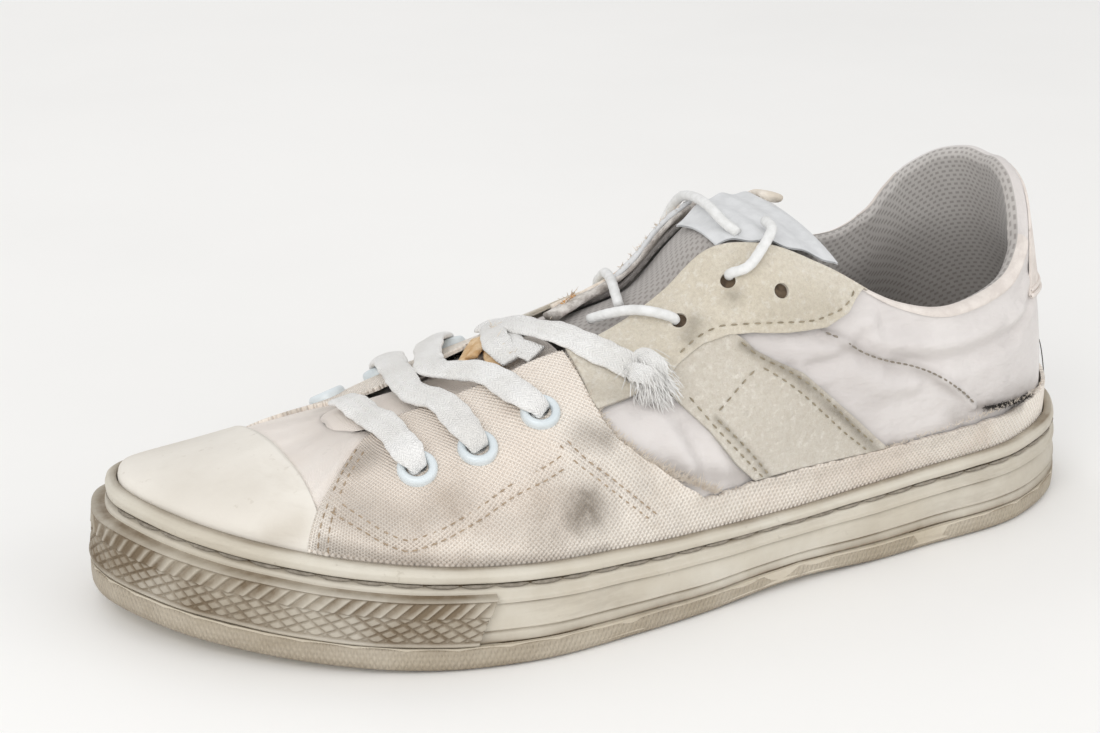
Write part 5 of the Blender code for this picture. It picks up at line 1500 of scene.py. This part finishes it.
def knot_piece(path):
    """The knot at the lace's cut end: a few turns of lace pulled tight, and its frayed tuft."""
    ahead = unit(path[-1] - path[-3])
    out = upper_direction(path[-1] + ahead * (KNOT_LENGTH / 2))
    across = np.cross(ahead, out)
    centre = path[-1] + ahead * (KNOT_LENGTH / 2 - 1.0 * MM) + out * 1.6 * MM
    angle = np.linspace(0, 2 * np.pi * 1.9, 46)
    loop = (
        centre + ahead * np.cos(angle)[:, None] * 2.8 * MM
        + across * np.sin(angle * 0.5 + 0.4)[:, None] * 2.6 * MM
        + out * np.sin(angle)[:, None] * 2.2 * MM
    )
    up = np.tile(out, (len(loop), 1)) + 0.3 * across
    knot, _ = ribbon("lace_tied_knot", loop, up, 5.4 * MM, 2.2 * MM, ("lace_knot",), 110)
    hairs = []
    down = unit(ahead * 0.55 + np.array([0, 0, -1.0]) + out * 0.15)
    for _ in range(1200):
        spread = RANDOM.normal(size=3) * 0.19
        aim = unit(down + spread)
        start = centre + spread * 9 * MM + ahead * RANDOM.uniform(-1.5, 2.5) * MM + down * RANDOM.uniform(0, 2) * MM
        reach = RANDOM.uniform(2.5, 6.2) * MM
        bend = RANDOM.normal(size=3) * 0.8 * MM - out * 0.6 * MM
        steps = np.linspace(0, 1, 6)[:, None]
        hairs.append(start + aim * reach * steps + bend * steps**2)
    tubes("lace_tuft", hairs, RANDOM.uniform(0.06, 0.14, len(hairs)) * MM, 4, FINISHES["lace"])
    return knot


def upper_direction(point):
    """The upper's outward direction near a point over its outer side."""
    turns, levels = np.meshgrid(np.linspace(0.1, 0.45, 90), np.linspace(0, 1, 60), indexing="ij")
    at, normal = skin(turns, levels)
    near = np.argmin(np.linalg.norm(at - point, axis=-1))
    return normal.reshape(-1, 3)[near]


def punch_holes(flaps):
    """The three round holes of each flap, each with a wall, dark inside."""
    for half, (name, flap) in enumerate(zip(("outer", "inner"), flaps)):
        work = bmesh.new()
        work.from_mesh(flap.data)
        for number, (share, setback) in enumerate(PUNCH_ROWS, start=1):
            at, normal = seat(throat_turns(share)[half], setback * MM, EYESTAY_LIFT)
            disc(f"hole_shade_{name}_{number}", at + normal * 0.15 * MM, normal, PUNCH_RADIUS + 0.3 * MM, "dark")
            punch(work, Vector(placed(at)), Vector(normal))
        work.to_mesh(flap.data)
        work.free()


def punch(work, place, axis):
    """Cuts one round hole with a wall into a sheet."""

    def from_axis(point):
        offset = point - place
        along = offset.dot(axis)
        return offset - axis * along if abs(along) < 4 * MM else offset.normalized()

    inside = [face for face in work.faces if from_axis(face.calc_center_median()).length < PUNCH_RADIUS]
    bmesh.ops.delete(work, geom=inside, context="FACES")
    rim = [
        edge for edge in work.edges
        if edge.is_boundary and all(from_axis(vert.co).length < 1.5 * PUNCH_RADIUS for vert in edge.verts)
    ]
    for vert in {vert for edge in rim for vert in edge.verts}:
        out = from_axis(vert.co)
        vert.co += out.normalized() * (PUNCH_RADIUS - out.length)
    for edge in rim:
        edge.smooth = False
    for made in bmesh.ops.extrude_edge_only(work, edges=rim)["geom"]:
        if isinstance(made, bmesh.types.BMVert):
            made.co -= axis * 1.4 * MM


# Seams of the outer side: thread, stitch mm, gap mm, lift mm, places (share of LENGTH, height mm)
CANVAS_FACE, STRIPE_FACE, FLAP_FACE = 2.15, 1.75, 2.45
SEAMS = (
    ("fray", 1.7, 0.9, CANVAS_FACE, ((0.857, 29.7), (0.858, 34.9), (0.857, 40.0), (0.852, 44.6), (0.839, 48.4))),
    ("fray", 1.7, 0.9, CANVAS_FACE, ((0.865, 30.1), (0.866, 35.3), (0.865, 40.0), (0.861, 45.2), (0.851, 49.0))),
    ("fray", 1.7, 0.9, CANVAS_FACE, ((0.862, 41.1), (0.832, 37.7), (0.807, 34.4), (0.792, 33.1), (0.772, 34.2),
                                     (0.728, 38.5), (0.686, 43.2), (0.651, 45.9), (0.627, 48.3))),
    ("fray", 1.7, 0.9, CANVAS_FACE, ((0.862, 38.6), (0.832, 35.2), (0.807, 31.9), (0.792, 30.7), (0.772, 31.8),
                                     (0.728, 36.1), (0.686, 40.8), (0.651, 43.4), (0.630, 45.4))),
    ("fray", 1.7, 0.9, CANVAS_FACE, ((0.634, 49.9), (0.621, 45.9), (0.601, 41.4), (0.576, 35.3), (0.548, 28.5))),
    ("fray", 1.7, 0.9, CANVAS_FACE, ((0.626, 50.6), (0.613, 46.8), (0.593, 42.4), (0.568, 36.3), (0.540, 29.3))),
    ("seam", 1.9, 1.3, FLAP_FACE, ((0.318, 78.4), (0.322, 76.6), (0.329, 75.0), (0.338, 73.9), (0.346, 73.5), (0.360, 72.8), (0.376, 72.9),
                                   (0.400, 73.5), (0.422, 73.6), (0.439, 73.4), (0.454, 73.0), (0.464, 71.9),
                                   (0.476, 70.0), (0.485, 68.3), (0.497, 66.0))),
    ("seam", 1.9, 1.3, STRIPE_FACE, ((0.498, 57.1), (0.475, 49.0), (0.447, 40.2), (0.421, 32.0))),
    ("seam", 1.9, 1.3, STRIPE_FACE, ((0.473, 51.0), (0.453, 45.3), (0.438, 40.6), (0.413, 31.9))),
    ("seam", 1.9, 1.3, STRIPE_FACE, ((0.428, 62.3), (0.442, 59.3), (0.460, 55.0), (0.473, 52.0))),
    ("seam", 1.9, 1.3, STRIPE_FACE, ((0.440, 69.6), (0.424, 65.6), (0.401, 61.9), (0.376, 56.8), (0.351, 50.3),
                                     (0.318, 40.6), (0.286, 32.6))),
    ("seam", 1.9, 1.3, STRIPE_FACE, ((0.422, 62.8), (0.410, 60.6), (0.385, 54.9), (0.358, 47.5), (0.331, 40.0), (0.300, 32.4))),
    ("grey_thread", 1.9, 0.5, 0.75, ((0.352, 69.2), (0.331, 65.9), (0.317, 62.7), (0.297, 59.6), (0.277, 57.3),
                                      (0.254, 54.9), (0.222, 50.2), (0.197, 44.7), (0.171, 37.5))),
)


def seams():
    threads = {"fray": [], "seam": [], "grey_thread": []}
    for finish, length, gap, lift, places in SEAMS:
        at, normal = on_side(1, places, 120, lift * MM)
        threads[finish] += stitches(at, normal, length * MM, gap * MM, 0.22 * MM)
    tubes("canvas_stitches", threads["fray"], [0.22 * MM] * len(threads["fray"]), 5, FINISHES["thread"])
    tubes("suede_stitches", threads["seam"], [0.26 * MM] * len(threads["seam"]), 5, FINISHES["seam"])
    tubes("nylon_stitches", threads["grey_thread"], [0.3 * MM] * len(threads["grey_thread"]), 5, FINISHES["grey_thread"])


def worn_gap():
    """The black worn tear where the rand has come off the nylon, and its loose thread."""
    hairs = []
    at, normal = on_side(1, ((0.160, 35.9), (0.129, 35.0), (0.098, 34.2), (0.070, 33.6)), 120, 0.9 * MM)
    for place in RANDOM.integers(0, len(at), 560):
        aim = unit(RANDOM.normal(size=3) * 0.6 + normal[place] * 0.4 + np.array([0.8, 0, -0.2]) * RANDOM.normal())
        steps = np.linspace(0, 1, 5)[:, None]
        start = at[place] + RANDOM.normal(size=3) * 0.3 * MM
        hairs.append(start + aim * RANDOM.uniform(0.3, 1.1) * MM * steps + RANDOM.normal(size=3) * 0.2 * MM * steps**2)
    radii = list(RANDOM.uniform(0.04, 0.09, len(hairs)) * MM)
    for first, last, girth in ((4, 50, 0.35), (34, 92, 0.55), (84, 112, 0.4)):
        core = at - normal * 0.6 * MM
        hairs.append(core[np.linspace(first, last, 5).astype(int)])
        radii.append(girth * MM)
    end, out = skin(0.995, level_at(0.995, 34 * MM)[0], 1.5 * MM)
    steps = np.linspace(0, 1, 24)[:, None]
    back = np.array([-1.0, 0.15, 0.0])
    hairs.append(end + back * 7 * MM * steps + np.array([0, 0, 1.0]) * (9 * np.sin(2.6 * steps) - 12 * steps**2) * MM)
    radii.append(0.16 * MM)
    tubes("worn_gap_threads", hairs, radii, 4, FINISHES["black"])


# The stage

CAMERA_TARGET = np.array([-2.75, -1.6, 30.0]) * MM
CAMERA_AZIMUTH, CAMERA_ELEVATION, CAMERA_ROLL = 28.3, 22.3, 1.0
CAMERA_DISTANCE = 704.5 * MM
FOCAL_PIXELS = 2490.0
PHOTO_SIZE = (1100, 733)
CENTRE_OFFSET = (76.0, 76.0)


def camera():
    azimuth, elevation = math.radians(CAMERA_AZIMUTH), math.radians(CAMERA_ELEVATION)
    roll = math.radians(CAMERA_ROLL)
    back = np.array(
        [math.sin(azimuth) * math.cos(elevation), math.cos(azimuth) * math.cos(elevation), math.sin(elevation)]
    )
    right = unit(np.cross(-back, [0, 0, 1.0]))
    up = np.cross(right, -back)
    right, up = right * math.cos(roll) + up * math.sin(roll), up * math.cos(roll) - right * math.sin(roll)
    aim = unit(-back - right * CENTRE_OFFSET[0] / FOCAL_PIXELS + up * CENTRE_OFFSET[1] / FOCAL_PIXELS)
    right = unit(right - aim * (right @ aim))
    up = np.cross(right, aim)
    data = bpy.data.cameras.new("camera")
    data.sensor_width = 36.0
    data.lens = FOCAL_PIXELS / PHOTO_SIZE[0] * data.sensor_width
    made = bpy.data.objects.new("camera", data)
    bpy.context.scene.collection.objects.link(made)
    place = CAMERA_TARGET + back * CAMERA_DISTANCE
    made.matrix_world = Matrix([(*[axis[k] for axis in (right, up, -aim)], place[k]) for k in range(3)] + [(0, 0, 0, 1)])
    bpy.context.scene.camera = made


def area_light(name, place, aim, size, power, tint="ffffff"):
    data = bpy.data.lights.new(name, "AREA")
    data.size, data.energy, data.color = size, power, colour(tint)[:3]
    made = bpy.data.objects.new(name, data)
    made.location = place
    made.rotation_euler = (Vector(aim) - Vector(place)).to_track_quat("-Z", "Y").to_euler()
    bpy.context.scene.collection.objects.link(made)


def stage():
    scene = bpy.context.scene
    mesh = bpy.data.meshes.new("floor")
    mesh.from_pydata([(-6, -6, 0), (6, -6, 0), (6, 6, 0), (-6, 6, 0)], [], [(0, 1, 2, 3)])
    floor = bpy.data.objects.new("floor", mesh)
    floor.location.z = -0.0002
    scene.collection.objects.link(floor)
    mesh.materials.append(plain_finish("pale floor", "f7f6f4", "f4f3f1", 0.9, 3, 0.00001))
    world = bpy.data.worlds.new("studio")
    world.use_nodes = True
    world.node_tree.nodes["Background"].inputs["Color"].default_value = (1, 1, 1, 1)
    world.node_tree.nodes["Background"].inputs["Strength"].default_value = 0.7
    scene.world = world
    area_light("key", (1.0, 1.0, 1.0), (0, 0, 0.04), 1.2, 12)
    area_light("fill", (-1.0, 1.2, 0.8), (0, 0, 0.04), 1.4, 6)
    area_light("rim", (0.2, -1.3, 1.2), (0, 0, 0.06), 1.2, 3)
    scene.view_settings.view_transform = "Standard"
    scene.render.engine = "CYCLES"
    scene.cycles.samples = 96
    scene.cycles.use_denoising = True
    scene.render.resolution_x, scene.render.resolution_y = PHOTO_SIZE


def main():
    camera()
    stage()
    make_finishes()
    lacing()
    foxing()
    outsole()
    toe_bumper()
    nylon()
    lining()
    vamp()
    toe_cap()
    canvas()
    binding()
    flaps = suede(1, "outer"), suede(-1, "inner")
    punch_holes(flaps)
    torn_pieces()
    worn_gap()
    heel_cover()
    tongues()
    seams()
    paint_node("insole", "insole")


main()
